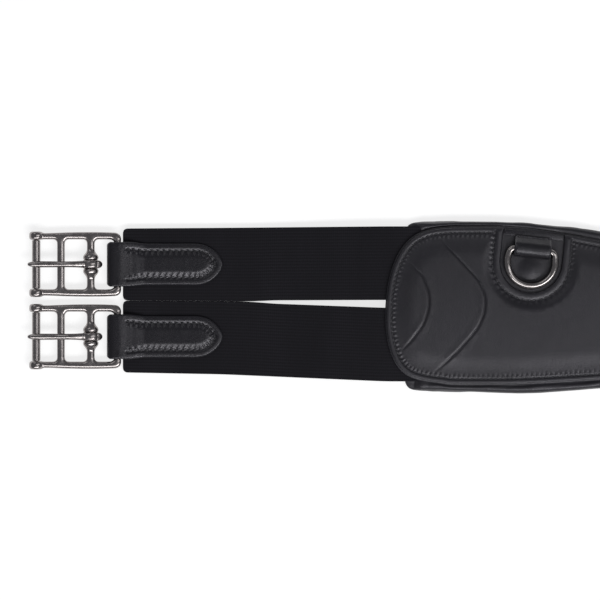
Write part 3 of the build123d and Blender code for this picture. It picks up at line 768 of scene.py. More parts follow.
@dataclass
class Thread:
    """Sewing thread: one stitch is modelled and then set along each seam."""

    pitch: float = 3.0 * MM
    gap: float = 0.65 * MM
    radius: float = 0.40 * MM
    slant: float = 9.0
    sink: float = 0.30 * MM

    def pattern(self) -> tuple[Points, list[tuple[int, ...]]]:
        """Models one stitch along X: a short round-ended strand whose ends dip into the leather.

        Returns:
            Its vertex places and its faces.
        """
        deselect_all()
        length = self.pitch - self.gap
        bpy.ops.mesh.primitive_cylinder_add(vertices=6, radius=self.radius, depth=length * 0.7,
                                            rotation=(0, math.radians(90), 0))
        strand = bpy.context.object
        settle_transform(strand)
        bpy.ops.object.mode_set(mode="EDIT")
        bpy.ops.mesh.select_mode(type="FACE")
        bpy.ops.mesh.select_all(action="DESELECT")
        bpy.ops.object.mode_set(mode="OBJECT")
        for face in strand.data.polygons:
            face.select = abs(face.normal.x) > 0.9
        bpy.ops.object.mode_set(mode="EDIT")
        bpy.ops.mesh.inset(thickness=self.radius * 0.45, depth=length * 0.15)
        bpy.ops.object.mode_set(mode="OBJECT")
        places = places_of(strand)
        places[:, 2] -= self.sink * (2 * places[:, 0] / length) ** 2
        faces = [tuple(f.vertices) for f in strand.data.polygons]
        bpy.data.objects.remove(strand, do_unlink=True)
        return places, faces

    def sew(self, name: str, lines: Sequence[tuple[Points, Points]]) -> bpy.types.Object:
        """Sets stitches along lines.

        Args:
            name: the new piece's name.
            lines: for each line, its points and the leather's outward direction at them.

        Returns:
            One piece with all the stitches.
        """
        strand, strand_faces = self.pattern()
        tilt = math.radians(self.slant)
        places, faces = [], []
        for line, outward in lines:
            along = np.concatenate([[0], np.cumsum(np.linalg.norm(np.diff(line, axis=0), axis=1))])
            count = int(along[-1] / self.pitch)
            for number in range(count):
                middle = (number + 0.5) * along[-1] / count
                spot, ahead, up = (self.at(middle, along, line), self.ahead(middle, along, line),
                                   self.at(middle, along, outward))
                up /= np.linalg.norm(up)
                side = np.cross(up, ahead)
                forward = math.cos(tilt) * ahead + math.sin(tilt) * side
                across = np.cross(up, forward)
                start = sum(len(p) for p in places)
                places.append(spot + strand[:, :1] * forward + strand[:, 1:2] * across + strand[:, 2:3] * up)
                faces.extend(tuple(start + i for i in face) for face in strand_faces)
        piece = mesh_piece(name, np.vstack(places), faces)
        close_normals(piece, 70)
        return piece

    @staticmethod
    def at(distance: float, along: Points, line: Points) -> Points:
        """The place on a line at a distance along it."""
        return np.array([np.interp(distance, along, line[:, i]) for i in range(3)])

    def ahead(self, distance: float, along: Points, line: Points) -> Points:
        """The line's direction at a distance along it."""
        before, after = distance - self.pitch / 2, distance + self.pitch / 2
        step = self.at(after, along, line) - self.at(before, along, line)
        return step / np.linalg.norm(step)


# ---------------------------------------------------------------- the body
@dataclass
class PaddedBody:
    """Soft lining leather wrapped over closed-cell padding, with a round roll along its edges."""

    column_step: float = 2.6 * MM
    tray_inset: float = 9.5 * MM
    roll_rise: float = 0.75 * MM
    end_level: float = 5.2 * MM
    corner_push: float = 2.4 * MM
    gather_depth: float = 0.45 * MM
    gather_pitch: float = 2.7 * MM
    pressure: float = 4.0
    swell_cap: float = 0.55 * MM
    ease_along: float = 26 * MM
    frames: int = 20

    def build(self, base_edge: Seam) -> bpy.types.Object:
        """Makes the wrapped body.

        Args:
            base_edge: edge of the leather layer that closes the body.

        Returns:
            The closed padded piece.
        """
        low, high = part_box("lining")
        silhouette = loops_at("lining", (low.z + high.z) / 2)[0]
        run = even_run(np.vstack([silhouette, silhouette[:1]]), self.column_step)
        run = rounded_run(run, 2.5 * MM)[:-1]
        inward = self.inward(run)
        near_mouth = smooth_step((np.abs(run[:, 0]) - 0.9 * high.x) / (6 * MM))
        corner = (2 * np.abs(inward[:, 0] * inward[:, 1])) ** 2 * near_mouth
        run = run - self.corner_push * corner[:, None] * inward
        inward = self.inward(run)
        rows, hold = self.rows(run, inward, base_edge, float(high.z), float(high.x))
        count = len(run)
        places = rows.reshape(-1, 3)
        faces = []
        for row in range(len(rows) - 1):
            for column in range(count):
                after = (column + 1) % count
                faces.append((row * count + column, row * count + after, (row + 1) * count + after,
                              (row + 1) * count + column))
        piece = mesh_piece("padded_body", places, faces)
        self.swell(piece, np.repeat(hold, count), count)
        self.close(piece)
        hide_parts("lining", "foam_pad")
        return piece

    @staticmethod
    def inward(run: Points) -> Points:
        """Directions to the left of a closed run."""
        ahead = np.roll(run, -1, 0) - np.roll(run, 1, 0)
        ahead /= np.hypot(*ahead.T)[:, None]
        return np.column_stack([-ahead[:, 1], ahead[:, 0]])

    def rows(self, run: Points, inward: Points, base_edge: Seam, top: float,
             end_x: float) -> tuple[Points, Points]:
        """Rows of the wrap, from the tray inside over the roll to the underside.

        Args:
            run: silhouette points.
            inward: direction into the body at each of them.
            base_edge: edge of the leather layer that closes the body.
            top: level on which that layer lies.
            end_x: where the body ends.

        Returns:
            Places as rows by columns, and how firmly each row is held, from 0 to 1.
        """
        width = np.minimum(base_edge.measure(run)[0], 6.2 * MM)
        near_end = smooth_step((np.abs(run[:, 0]) - (end_x - 10 * MM)) / (4.5 * MM))
        along = np.arange(len(run)) * self.column_step
        gather = np.cos(2 * np.pi * along / self.gather_pitch / 1.5) * smooth_step(
            (np.abs(run[:, 0]) - (end_x - 26 * MM)) / (12 * MM))
        slow = drift(np.column_stack([along, np.zeros_like(along)]), 23 * MM, 3.1)
        rise = self.roll_rise * (1 + 0.25 * slow)
        crest = top + rise
        # share of the roll's width or plain inset, level at a long edge, level at an end, hold
        profile = [
            (self.tray_inset, 0, None, self.end_level, 1),
            (self.tray_inset - 0.6 * MM, 0, "lip", self.end_level, 1),
            (self.tray_inset - 1.6 * MM, 0, "under", self.end_level, 1),
            (0.8 * MM, 1, "under", self.end_level, 1),
            (-0.15 * MM, 1, "under", self.end_level, 1), (-0.1 * MM, 0.86, "shoulder", self.end_level, 0.3),
            (0, 0.66, "crest_in", self.end_level, 0), (0, 0.44, "crest", 5.1 * MM, 0),
            (0, 0.24, "crest_out", 4.9 * MM, 0), (0, 0.10, "side", 4.3 * MM, 0),
            (0, 0.02, "belly", 3.6 * MM, 0),
            (0, 0, "belly_low", 2.8 * MM, 0), (0.3 * MM, 0.02, "turn", 1.7 * MM, 0),
            (1.2 * MM, 0.02, "heel", 0.7 * MM, 0.3), (3.0 * MM, 0, "foot", 0.12 * MM, 1),
            (5.5 * MM, 0, "flat", 0.0, 1),
            (self.tray_inset, 0, "flat", 0.0, 1),
        ]
        levels = {
            None: np.full(len(run), self.end_level),
            "lip": np.full(len(run), top - 0.7 * MM),
            "under": np.full(len(run), top - 0.06 * MM),
            "shoulder": crest - 0.55 * MM,
            "crest_in": crest - 0.12 * MM,
            "crest": crest,
            "crest_out": crest - 0.55 * MM,
            "side": crest - 1.7 * MM,
            "belly": crest - 3.1 * MM,
            "belly_low": np.full(len(run), 3.6 * MM),
            "turn": np.full(len(run), 2.0 * MM),
            "heel": np.full(len(run), 0.75 * MM),
            "foot": np.full(len(run), 0.12 * MM),
            "flat": np.zeros(len(run)),
        }
        out, hold = [], []
        for plain, share, level, end_level, held in profile:
            z = levels[level] * (1 - near_end) + end_level * near_end
            inset = plain + share * width
            free = 1 - held
            z = z + self.gather_depth * gather * free * smooth_step(z / (3 * MM)) * (1 - 0.6 * near_end)
            inset = inset - 0.3 * self.gather_depth * gather * free
            out.append(np.column_stack([run + inset[:, None] * inward, np.maximum(z, 0)]))
            hold.append(held)
        return np.array(out), np.array(hold, float)

    def eased(self, moved: Points, columns: int) -> Points:
        """Evens out a shift along the roll, so that long soft swells are left."""
        half = int(self.ease_along / self.column_step / 2)
        weights = np.hanning(2 * half + 3)[1:-1]
        weights /= weights.sum()
        rows = moved.reshape(-1, columns, 3)
        soft = sum(w * np.roll(rows, shift, axis=1) for shift, w in zip(range(-half, half + 1), weights))
        return (0.85 * soft + 0.15 * rows).reshape(-1, 3)

    def swell(self, piece: bpy.types.Object, hold: Points, columns: int) -> None:
        """Lets the padding press the roll out between the seam and the underside, by a capped amount.

        Args:
            piece: the open wrap.
            hold: how firmly each vertex is held, from 0 to 1.
            columns: number of vertices in one row.
        """
        start = places_of(piece)
        group = piece.vertex_groups.new(name="held")
        for number, weight in enumerate(hold):
            group.add([number], float(weight), "REPLACE")
        pick(piece)
        cloth = piece.modifiers.new("padding", "CLOTH")
        settings = cloth.settings
        settings.quality = 6
        settings.mass = 0.15
        settings.use_pressure = True
        settings.uniform_pressure_force = self.pressure
        settings.tension_stiffness = settings.compression_stiffness = 25
        settings.bending_stiffness = 1.5
        settings.shrink_min = -0.06
        settings.vertex_group_mass = group.name
        settings.effector_weights.gravity = 0
        cloth.collision_settings.use_collision = False
        cloth.point_cache.frame_start, cloth.point_cache.frame_end = 1, self.frames
        scene = bpy.context.scene
        for number in range(1, self.frames + 1):
            scene.frame_set(number)
        shape = piece.evaluated_get(bpy.context.evaluated_depsgraph_get())
        moved = places_of(shape) - start
        piece.modifiers.remove(cloth)
        scene.frame_set(1)
        moved = self.eased(moved, columns)
        reach = np.linalg.norm(moved, axis=1)
        moved *= (self.swell_cap * np.tanh(reach / self.swell_cap) / np.maximum(reach, 1e-9))[:, None]
        places = start + moved
        places[:, 2] = np.maximum(places[:, 2], 0)
        move_points(piece, places)
        piece.vertex_groups.clear()
        LOG.info("padding pressed out by up to %.2f mm", float(np.abs(moved).max()) / MM)

    @staticmethod
    def close(piece: bpy.types.Object) -> None:
        """Smooths the wrap, then closes the tray and the underside."""
        pick(piece)
        rounding = piece.modifiers.new("rounding", "SUBSURF")
        rounding.levels = rounding.render_levels = 1
        bpy.ops.object.modifier_apply(modifier=rounding.name)
        places = places_of(piece)
        uses = np.zeros(len(piece.data.edges), int)
        for face in piece.data.polygons:
            for corner in face.loop_indices:
                uses[piece.data.loops[corner].edge_index] += 1
        rims = {edge.index for edge in piece.data.edges if uses[edge.index] == 1}
        middle = places[list({v for e in rims for v in piece.data.edges[e].vertices}), 2].mean()
        for upper in (True, False):
            bpy.ops.object.mode_set(mode="EDIT")
            bpy.ops.mesh.select_mode(type="EDGE")
            bpy.ops.mesh.select_all(action="DESELECT")
            bpy.ops.object.mode_set(mode="OBJECT")
            for number in rims:
                edge = piece.data.edges[number]
                edge.select = (places[edge.vertices[0], 2] > middle) == upper
            bpy.ops.object.mode_set(mode="EDIT")
            bpy.ops.mesh.fill(use_beauty=True)
            bpy.ops.object.mode_set(mode="OBJECT")
        close_normals(piece, 60)


@dataclass
class TopLeather:
    """Outer panel and the leather layer under it, cut out and stitched round each ring."""

    seam_inset: float = 3.1 * MM
    window_seam_inset: float = 4.9 * MM
    pitch: float = 3.0 * MM
    crown: float = 0.3 * MM
    belly: float = 1.5 * MM
    groove: float = 0.60 * MM
    scallop: float = 0.34 * MM
    crease_depth: float = 0.42 * MM
    crease_width: float = 0.55 * MM
    grid_step: float = 2.4 * MM
    # pressed creases, as distances in from the panel's end and heights across it
    near_crease: tuple = ((9.0, 33.5), (12.7, 29.2), (21.9, 20.0), (25.6, 10.0), (26.4, 4.0), (25.6, -2.0),
                          (22.6, -10.6), (15.0, -20.5), (7.0, -29.0))
    far_crease: tuple = ((28.0, 48.0), (33.0, 42.7), (44.4, 30.1), (56.0, 17.6), (60.0, 9.0), (61.0, 3.0),
                         (60.0, -4.0), (55.8, -13.0), (44.4, -26.4), (30.5, -39.3), (27.0, -42.5))
    outer: list[Seam] = field(default_factory=list)
    windows: list[Seam] = field(default_factory=list)
    creases: list[Seam] = field(default_factory=list)
    base_edge: Seam = field(init=False)

    def __post_init__(self) -> None:
        """Takes the outlines from the frame and sorts them into long edges, cut-outs and creases."""
        low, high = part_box("outer_panel")
        self.low, self.high = np.array(low), np.array(high)
        runs = split_at_corners(loops_at("outer_panel", (low.z + high.z) / 2)[0], 50)
        runs.sort(key=lambda r: np.hypot(*np.diff(r, axis=0).T).sum())
        self.runs = [even_run(r, 1.1 * MM) for r in runs]
        self.windows = [Seam(even_run(r, 0.5 * MM)) for r in runs[:2]]
        self.outer = [Seam(even_run(r, 0.5 * MM)) for r in runs[2:]]
        for end in (-1, 1):
            for crease in (self.near_crease, self.far_crease):
                line = np.array([(end * (self.high[0] - back * MM), y * MM) for back, y in crease])
                self.creases.append(Seam(rounded_run(even_run(line, 0.5 * MM), 5 * MM)))
        self.base_low, self.base_high = (np.array(corner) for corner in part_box("base_leather"))
        loop = loops_at("base_leather", float(self.base_low[2] + self.base_high[2]) / 2)[0]
        self.base_loop = even_run(np.vstack([loop, loop[:1]]), 1.4 * MM)[:-1]
        self.base_edge = Seam(np.vstack([self.base_loop, self.base_loop[:1]]))

    def outline(self) -> Points:
        """The panel's closed outline, in order."""
        left = list(self.runs)
        chain = [left.pop()]
        while left:
            here = chain[-1][-1]
            number = min(range(len(left)), key=lambda i: np.hypot(*(left[i][0] - here)))
            chain.append(left.pop(number))
        return np.vstack([run[:-1] for run in chain])

    def gaps(self, where: Points) -> tuple[Points, Points, Points, Points]:
        """Distance from the outer edge and from the cut-outs, with the distance along each."""
        edge = [seam.measure(where) for seam in self.outer]
        window = [seam.measure(where) for seam in self.windows]
        pick_edge = np.argmin([e[0] for e in edge], 0)
        pick_window = np.argmin([w[0] for w in window], 0)
        take = np.arange(len(where))
        return (np.array([e[0] for e in edge])[pick_edge, take],
                np.array([e[1] for e in edge])[pick_edge, take],
                np.array([w[0] for w in window])[pick_window, take],
                np.array([w[1] for w in window])[pick_window, take])

    def relief(self, where: Points) -> Points:
        """Height of the grain side over the panel's plain thickness."""
        edge, edge_along, window, window_along = self.gaps(where)
        rim = np.minimum(edge, window)
        roll = 0.55 * MM
        turn = np.clip(1 - rim / roll, 0, 1)
        height = -roll * (1 - np.sqrt(np.maximum(1 - turn * turn, 0)))
        inside = np.minimum(smooth_step((edge - self.seam_inset - 0.3 * MM) / (14.0 * MM)),
                            smooth_step((window - self.window_seam_inset - 0.3 * MM) / (6.0 * MM)))
        across = (where[:, 1] - (self.low[1] + self.high[1]) / 2) / (self.high[1] - self.low[1]) * 2
        height += inside * (self.crown + self.belly * (1 - across * across))
        wave = drift(np.column_stack([edge_along, np.zeros_like(edge_along)]), 30 * MM, 1.7)
        strength = 1 + 0.35 * wave
        beat = np.cos(2 * np.pi * edge_along / self.pitch)
        by_edge = smooth_step((window - self.window_seam_inset) / (1.2 * MM))
        height -= by_edge * self.groove * bell(edge - self.seam_inset, 0.55 * MM) * (0.75 + 0.25 * beat)
        pulled = bell(edge - self.seam_inset - 1.35 * MM, 0.75 * MM)
        height -= by_edge * self.scallop * strength * pulled * beat
        height += by_edge * 0.16 * MM * bell(edge - 1.7 * MM, 0.8 * MM)
        window_beat = np.cos(2 * np.pi * window_along / self.pitch)
        by_window = smooth_step((edge - 1.0 * MM) / (1.4 * MM))
        sunk = bell(window - self.window_seam_inset, 0.6 * MM)
        height -= by_window * self.groove * sunk * (0.75 + 0.25 * window_beat)
        height += by_window * 0.55 * MM * bell(window - 2.5 * MM, 1.5 * MM)
        pulled = bell(window - self.window_seam_inset - 1.3 * MM, 0.7 * MM)
        height -= by_window * self.scallop * pulled * window_beat
        for crease in self.creases:
            away = crease.measure(where)[0]
            height -= inside * self.crease_depth * bell(away, self.crease_width)
            height += inside * 0.16 * MM * bell(away - 1.5 * MM, 0.8 * MM)
        height += inside * (0.16 * MM * drift(where, 38 * MM, 0.4) + 0.05 * MM * drift(where, 11 * MM, 5.2))
        return height

    def guides(self) -> Points:
        """Rows beside the edges, seams and creases, then an even grid."""
        rows = []
        for seams, inset in ((self.outer, self.seam_inset), (self.windows, self.window_seam_inset)):
            for depth, step in ((0.18, 1.1), (0.45, 1.1), (0.9, 1.2), (1.7, 1.3)):
                rows += [seam.beside(depth * MM, step * MM) for seam in seams]
            for shift in (-0.9, -0.4, 0.0, 0.4, 0.9, 1.4, 2.0, 2.9):
                rows += [seam.beside(inset + shift * MM, 0.75 * MM) for seam in seams]
            for shift in (4.2, 6.0):
                rows += [seam.beside(inset + shift * MM, 1.6 * MM) for seam in seams]
        for crease in self.creases:
            rows += [crease.beside(depth * MM, 1.1 * MM) for depth in (0, -0.45, 0.45, -1.0, 1.0, -1.8, 1.8)]
        marks = np.vstack(rows)
        grid = grid_points(self.low[:2], self.high[:2], self.grid_step)
        edge, _, window, _ = self.gaps(grid)
        grid = grid[(edge > self.seam_inset + 4.5 * MM) & (window > self.window_seam_inset + 4.5 * MM)]
        for crease in self.creases:
            grid = grid[crease.measure(grid)[0] > 2.4 * MM]
        edge, _, window, _ = self.gaps(marks)
        marks = marks[np.minimum(edge, window) > 0.15 * MM]
        return np.vstack([marks, grid])

    def panel(self) -> bpy.types.Object:
        """The outer panel, crowned inside its stitching."""
        base = float(self.low[2])
        sheet = LeatherSheet(
            "outer_panel_leather", self.outline(), self.guides(), float(self.high[2] - base), self.relief,
            lambda flat, height: np.column_stack([flat, base + height]),
        )
        piece = sheet.build()
        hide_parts("outer_panel")
        return piece

    def base_relief(self, where: Points) -> Points:
        """Height of the leather under the panel: a rounded edge and a soft swell inside each ring."""
        away = self.base_edge.measure(where)[0]
        roll = 0.45 * MM
        turn = np.clip(1 - away / roll, 0, 1)
        height = -roll * (1 - np.sqrt(np.maximum(1 - turn * turn, 0)))
        for middle in self.ring_middles():
            distance = np.hypot(*(where - middle).T)
            height += 1.3 * MM * smooth_step(1 - distance / (9.0 * MM))
            height += 0.12 * MM * drift(where, 6 * MM, 2.2) * smooth_step(1 - distance / (15 * MM))
        return height

    @staticmethod
    def ring_middles() -> list[Points]:
        """Where the leather shows inside each ring."""
        middles = []
        for name in ("ring_left", "ring_right"):
            low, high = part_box(name)
            middles.append(np.array([(low.x + high.x) / 2, low.y + 0.44 * (high.y - low.y)]))
        return middles

    def base_layer(self) -> bpy.types.Object:
        """The leather layer whose edge shows round the panel, and which is the floor of each cut-out."""
        base = float(self.base_low[2])
        rows = [self.base_edge.beside(depth * MM, 1.4 * MM) for depth in (0.2, 0.5, 1.1, 3.0)]
        for middle in self.ring_middles():
            grid = grid_points(middle - 20 * MM, middle + 20 * MM, 1.0 * MM)
            rows.append(grid[self.base_edge.measure(grid)[0] > 1.5 * MM])
        rows.append(grid_points(self.base_low[:2] + 6 * MM, self.base_high[:2] - 6 * MM, 9 * MM))
        guides = np.vstack(rows)
        inside = self.inside(guides)
        sheet = LeatherSheet(
            "base_layer_leather", self.base_loop, guides[inside], float(self.base_high[2] - base),
            self.base_relief, lambda flat, height: np.column_stack([flat, base + height]),
        )
        piece = sheet.build()
        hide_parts("base_leather")
        return piece

    def inside(self, where: Points) -> Points:
        """Which places lie inside the lower layer's outline."""
        x, y = where.T
        within = np.zeros(len(where), bool)
        loop = self.base_loop
        for (ax, ay), (bx, by) in zip(loop, np.roll(loop, -1, 0)):
            crosses = (ay > y) != (by > y)
            if ay != by:
                within ^= crosses & (x < ax + (y - ay) * (bx - ax) / (by - ay))
        return within & (self.base_edge.measure(where)[0] > 0.12 * MM)

    def seams(self) -> list[tuple[Points, Points]]:
        """The stitch lines on the panel and the leather's outward direction along them."""
        lines = []
        for seam in self.outer:
            row = seam.beside(self.seam_inset, 0.6 * MM)
            edge, _, window, _ = self.gaps(row)
            lines += self.kept_parts(row, (window > self.window_seam_inset - 0.2 * MM) & (edge > 2.9 * MM))
        for seam in self.windows:
            row = seam.beside(self.window_seam_inset, 0.6 * MM)
            edge, _, window, _ = self.gaps(row)
            lines += self.kept_parts(row, (edge > 1.3 * MM) & (window > self.window_seam_inset - 0.2 * MM))
        return lines

    def kept_parts(self, row: Points, good: Points) -> list[tuple[Points, Points]]:
        """Splits a row into its unbroken good parts, laid on the leather."""
        parts, start = [], None
        for number, keep in enumerate([*good, False]):
            if keep and start is None:
                start = number
            elif not keep and start is not None:
                part = row[start:number]
                if len(part) > 12:
                    level = float(self.high[2]) + self.relief(part) + 0.26 * MM
                    parts.append((np.column_stack([part, level]), np.tile([0.0, 0.0, 1.0], (len(part), 1))))
                start = None
        return parts


# ---------------------------------------------------------------- folded leather: ring loops and chapes
@dataclass
class FoldPath:
    """The line that a folded strip of leather follows, seen from the side."""

    line: Points
    reach: float = 1.2 * MM

    def __post_init__(self) -> None:
        """Eases the bends and measures the line."""
        self.line = rounded_run(even_run(self.line, 0.25 * MM), self.reach)
        self.along = np.concatenate([[0], np.cumsum(np.hypot(*np.diff(self.line, axis=0).T))])
        ahead = np.gradient(self.line, axis=0)
        ahead /= np.hypot(*ahead.T)[:, None]
        self.outward = np.column_stack([-ahead[:, 1], ahead[:, 0]])

    @property
    def length(self) -> float:
        """Length of the line."""
        return float(self.along[-1])

    def place(self, distance: Points, height: Points) -> Points:
        """Side-view places at distances along the line and heights off it."""
        spot = [np.interp(distance, self.along, self.line[:, i]) for i in (0, 1)]
        off = [np.interp(distance, self.along, self.outward[:, i]) for i in (0, 1)]
        size = np.hypot(*off)
        return np.column_stack([spot[i] + height * off[i] / size for i in (0, 1)])

    def facing(self, distance: Points) -> Points:
        """Outward directions in the side view."""
        return np.column_stack([np.interp(distance, self.along, self.outward[:, i]) for i in (0, 1)])


@dataclass
class RingLoop:
    """Leather loop folded round a ring's bar and sewn down on a wider yoke."""

    thickness: float = 1.2 * MM
    flap: float = 8.5 * MM
    side_play: float = 0.2 * MM
    lap: float = 1.6 * MM
    yoke_depth: float = 3.6 * MM
    pitch: float = 2.3 * MM

    def build(self, side: str) -> tuple[bpy.types.Object, list[tuple[Points, Points]]]:
        """Makes one loop with its yoke.

        Args:
            side: "left" or "right".

        Returns:
            The piece, and the stitch line with its outward directions.
        """
        joint = joint_of(f"ring_{side}_lift")
        self.bar = np.array(joint["pos_m"], float)
        axis = np.array(joint["axis"], float)
        axis = axis * np.sign(axis[0])
        self.axis, self.toward_edge = axis, np.array([-axis[1], axis[0], 0.0])
        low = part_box(f"ring_loop_{side}")[0]
        outer = float(self.bar[2] - low.z)
        inner = outer - self.thickness
        top = np.array([(self.flap, -inner), (self.flap - self.lap, -inner),
                        (self.flap - self.lap - 1.2 * MM, -inner * 0.6), (2.2 * MM, inner * 0.86),
                        (0.9 * MM, inner)])
        arc = [(-inner * math.sin(a), inner * math.cos(a)) for a in np.linspace(0, math.pi, 17)]
        # drawn from the flap's end, over the bar and back, with the leather's thickness outwards
        self.path = FoldPath(np.vstack([top, arc, [(self.flap, -inner)]])[::-1], 0.6 * MM)
        half = self.half_width(side)
        long = self.path.length
        outline = even_run(np.array([(0, -half), (long, -half), (long, half), (0, half), (0, -half)]),
                           1.0 * MM)[:-1]
        self.seam_at = self.path.length - 1.0 * MM
        clear = 0.4 * MM
        grid = grid_points(np.array([clear, -half + clear]), np.array([long, half]) - clear, 0.8 * MM)
        sheet = LeatherSheet(f"ring_loop_leather_{side}", outline, grid, self.thickness * 0.96,
                             self.relief(half), self.lay, Back.FOLLOWING, 0.3 * MM)
        piece = sheet.build()
        yoke = self.yoke(side)
        pick(yoke)
        piece.select_set(True)
        bpy.context.view_layer.objects.active = piece
        bpy.ops.object.join()
        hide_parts(f"ring_loop_{side}")
        across = np.linspace(-half + 1.0 * MM, half - 1.0 * MM, 60)
        where = np.column_stack([np.full_like(across, self.seam_at), across])
        line = self.lay(where, np.full(len(across), self.thickness + 0.10 * MM))
        facing = np.tile([0.0, 0.0, 1.0], (len(across), 1))
        return piece, [(line, facing)]

    def half_width(self, side: str) -> float:
        """Half of the loop's width along the bar, from the CAD loop's section through the bar."""
        loops = loops_at(f"ring_loop_{side}", float(self.bar[2]))
        reach = max(np.abs((loop - self.bar[:2]) @ self.axis[:2]).max() for loop in loops)
        return float(reach) - self.side_play

    def relief(self, half: float) -> Callable[[Points], Points]:
        """Slightly crowned strip with rounded edges and a pressed seam."""
        def height(where: Points) -> Points:
            """Height over the plain thickness at flat places."""
            edge = half - np.abs(where[:, 1])
            turn = np.clip(1 - edge / (0.5 * MM), 0, 1)
            out = -0.4 * MM * (1 - np.sqrt(np.maximum(1 - turn * turn, 0)))
            out -= 0.30 * MM * bell(where[:, 0] - self.seam_at, 0.5 * MM)
            return out + 0.08 * MM * drift(where, 5 * MM, 7.7)
        return height

    def lay(self, flat: Points, height: Points) -> Points:
        """Places the flat strip round the bar."""
        side_view = self.path.place(flat[:, 0], height)
        return (self.bar + side_view[:, :1] * self.toward_edge + flat[:, 1:2] * self.axis
                + side_view[:, 1:2] * np.array([0.0, 0.0, 1.0]))

    def yoke(self, side: str) -> bpy.types.Object:
        """The wide strip at the loop's root, from a block with its edges rounded."""
        low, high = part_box(f"ring_loop_{side}")
        turn = math.atan2(self.axis[1], self.axis[0])
        width = (float(high.x - low.x) - self.yoke_depth * abs(math.sin(turn))) / math.cos(turn) - 0.1 * MM
        middle = self.bar + (self.flap + self.yoke_depth / 2 - 0.5 * MM) * self.toward_edge
        level = float(low.z) + self.thickness / 2
        deselect_all()
        bpy.ops.mesh.primitive_cube_add(size=1, location=(middle[0], middle[1], level), rotation=(0, 0, turn),
                                        scale=(width, self.yoke_depth, self.thickness))
        strip = bpy.context.object
        settle_transform(strip)
        bpy.ops.object.mode_set(mode="EDIT")
        bpy.ops.mesh.select_all(action="SELECT")
        bpy.ops.mesh.bevel(offset=0.4 * MM, segments=3)
        bpy.ops.object.mode_set(mode="OBJECT")
        bpy.ops.object.shade_smooth_by_angle(angle=math.radians(45))
        return strip


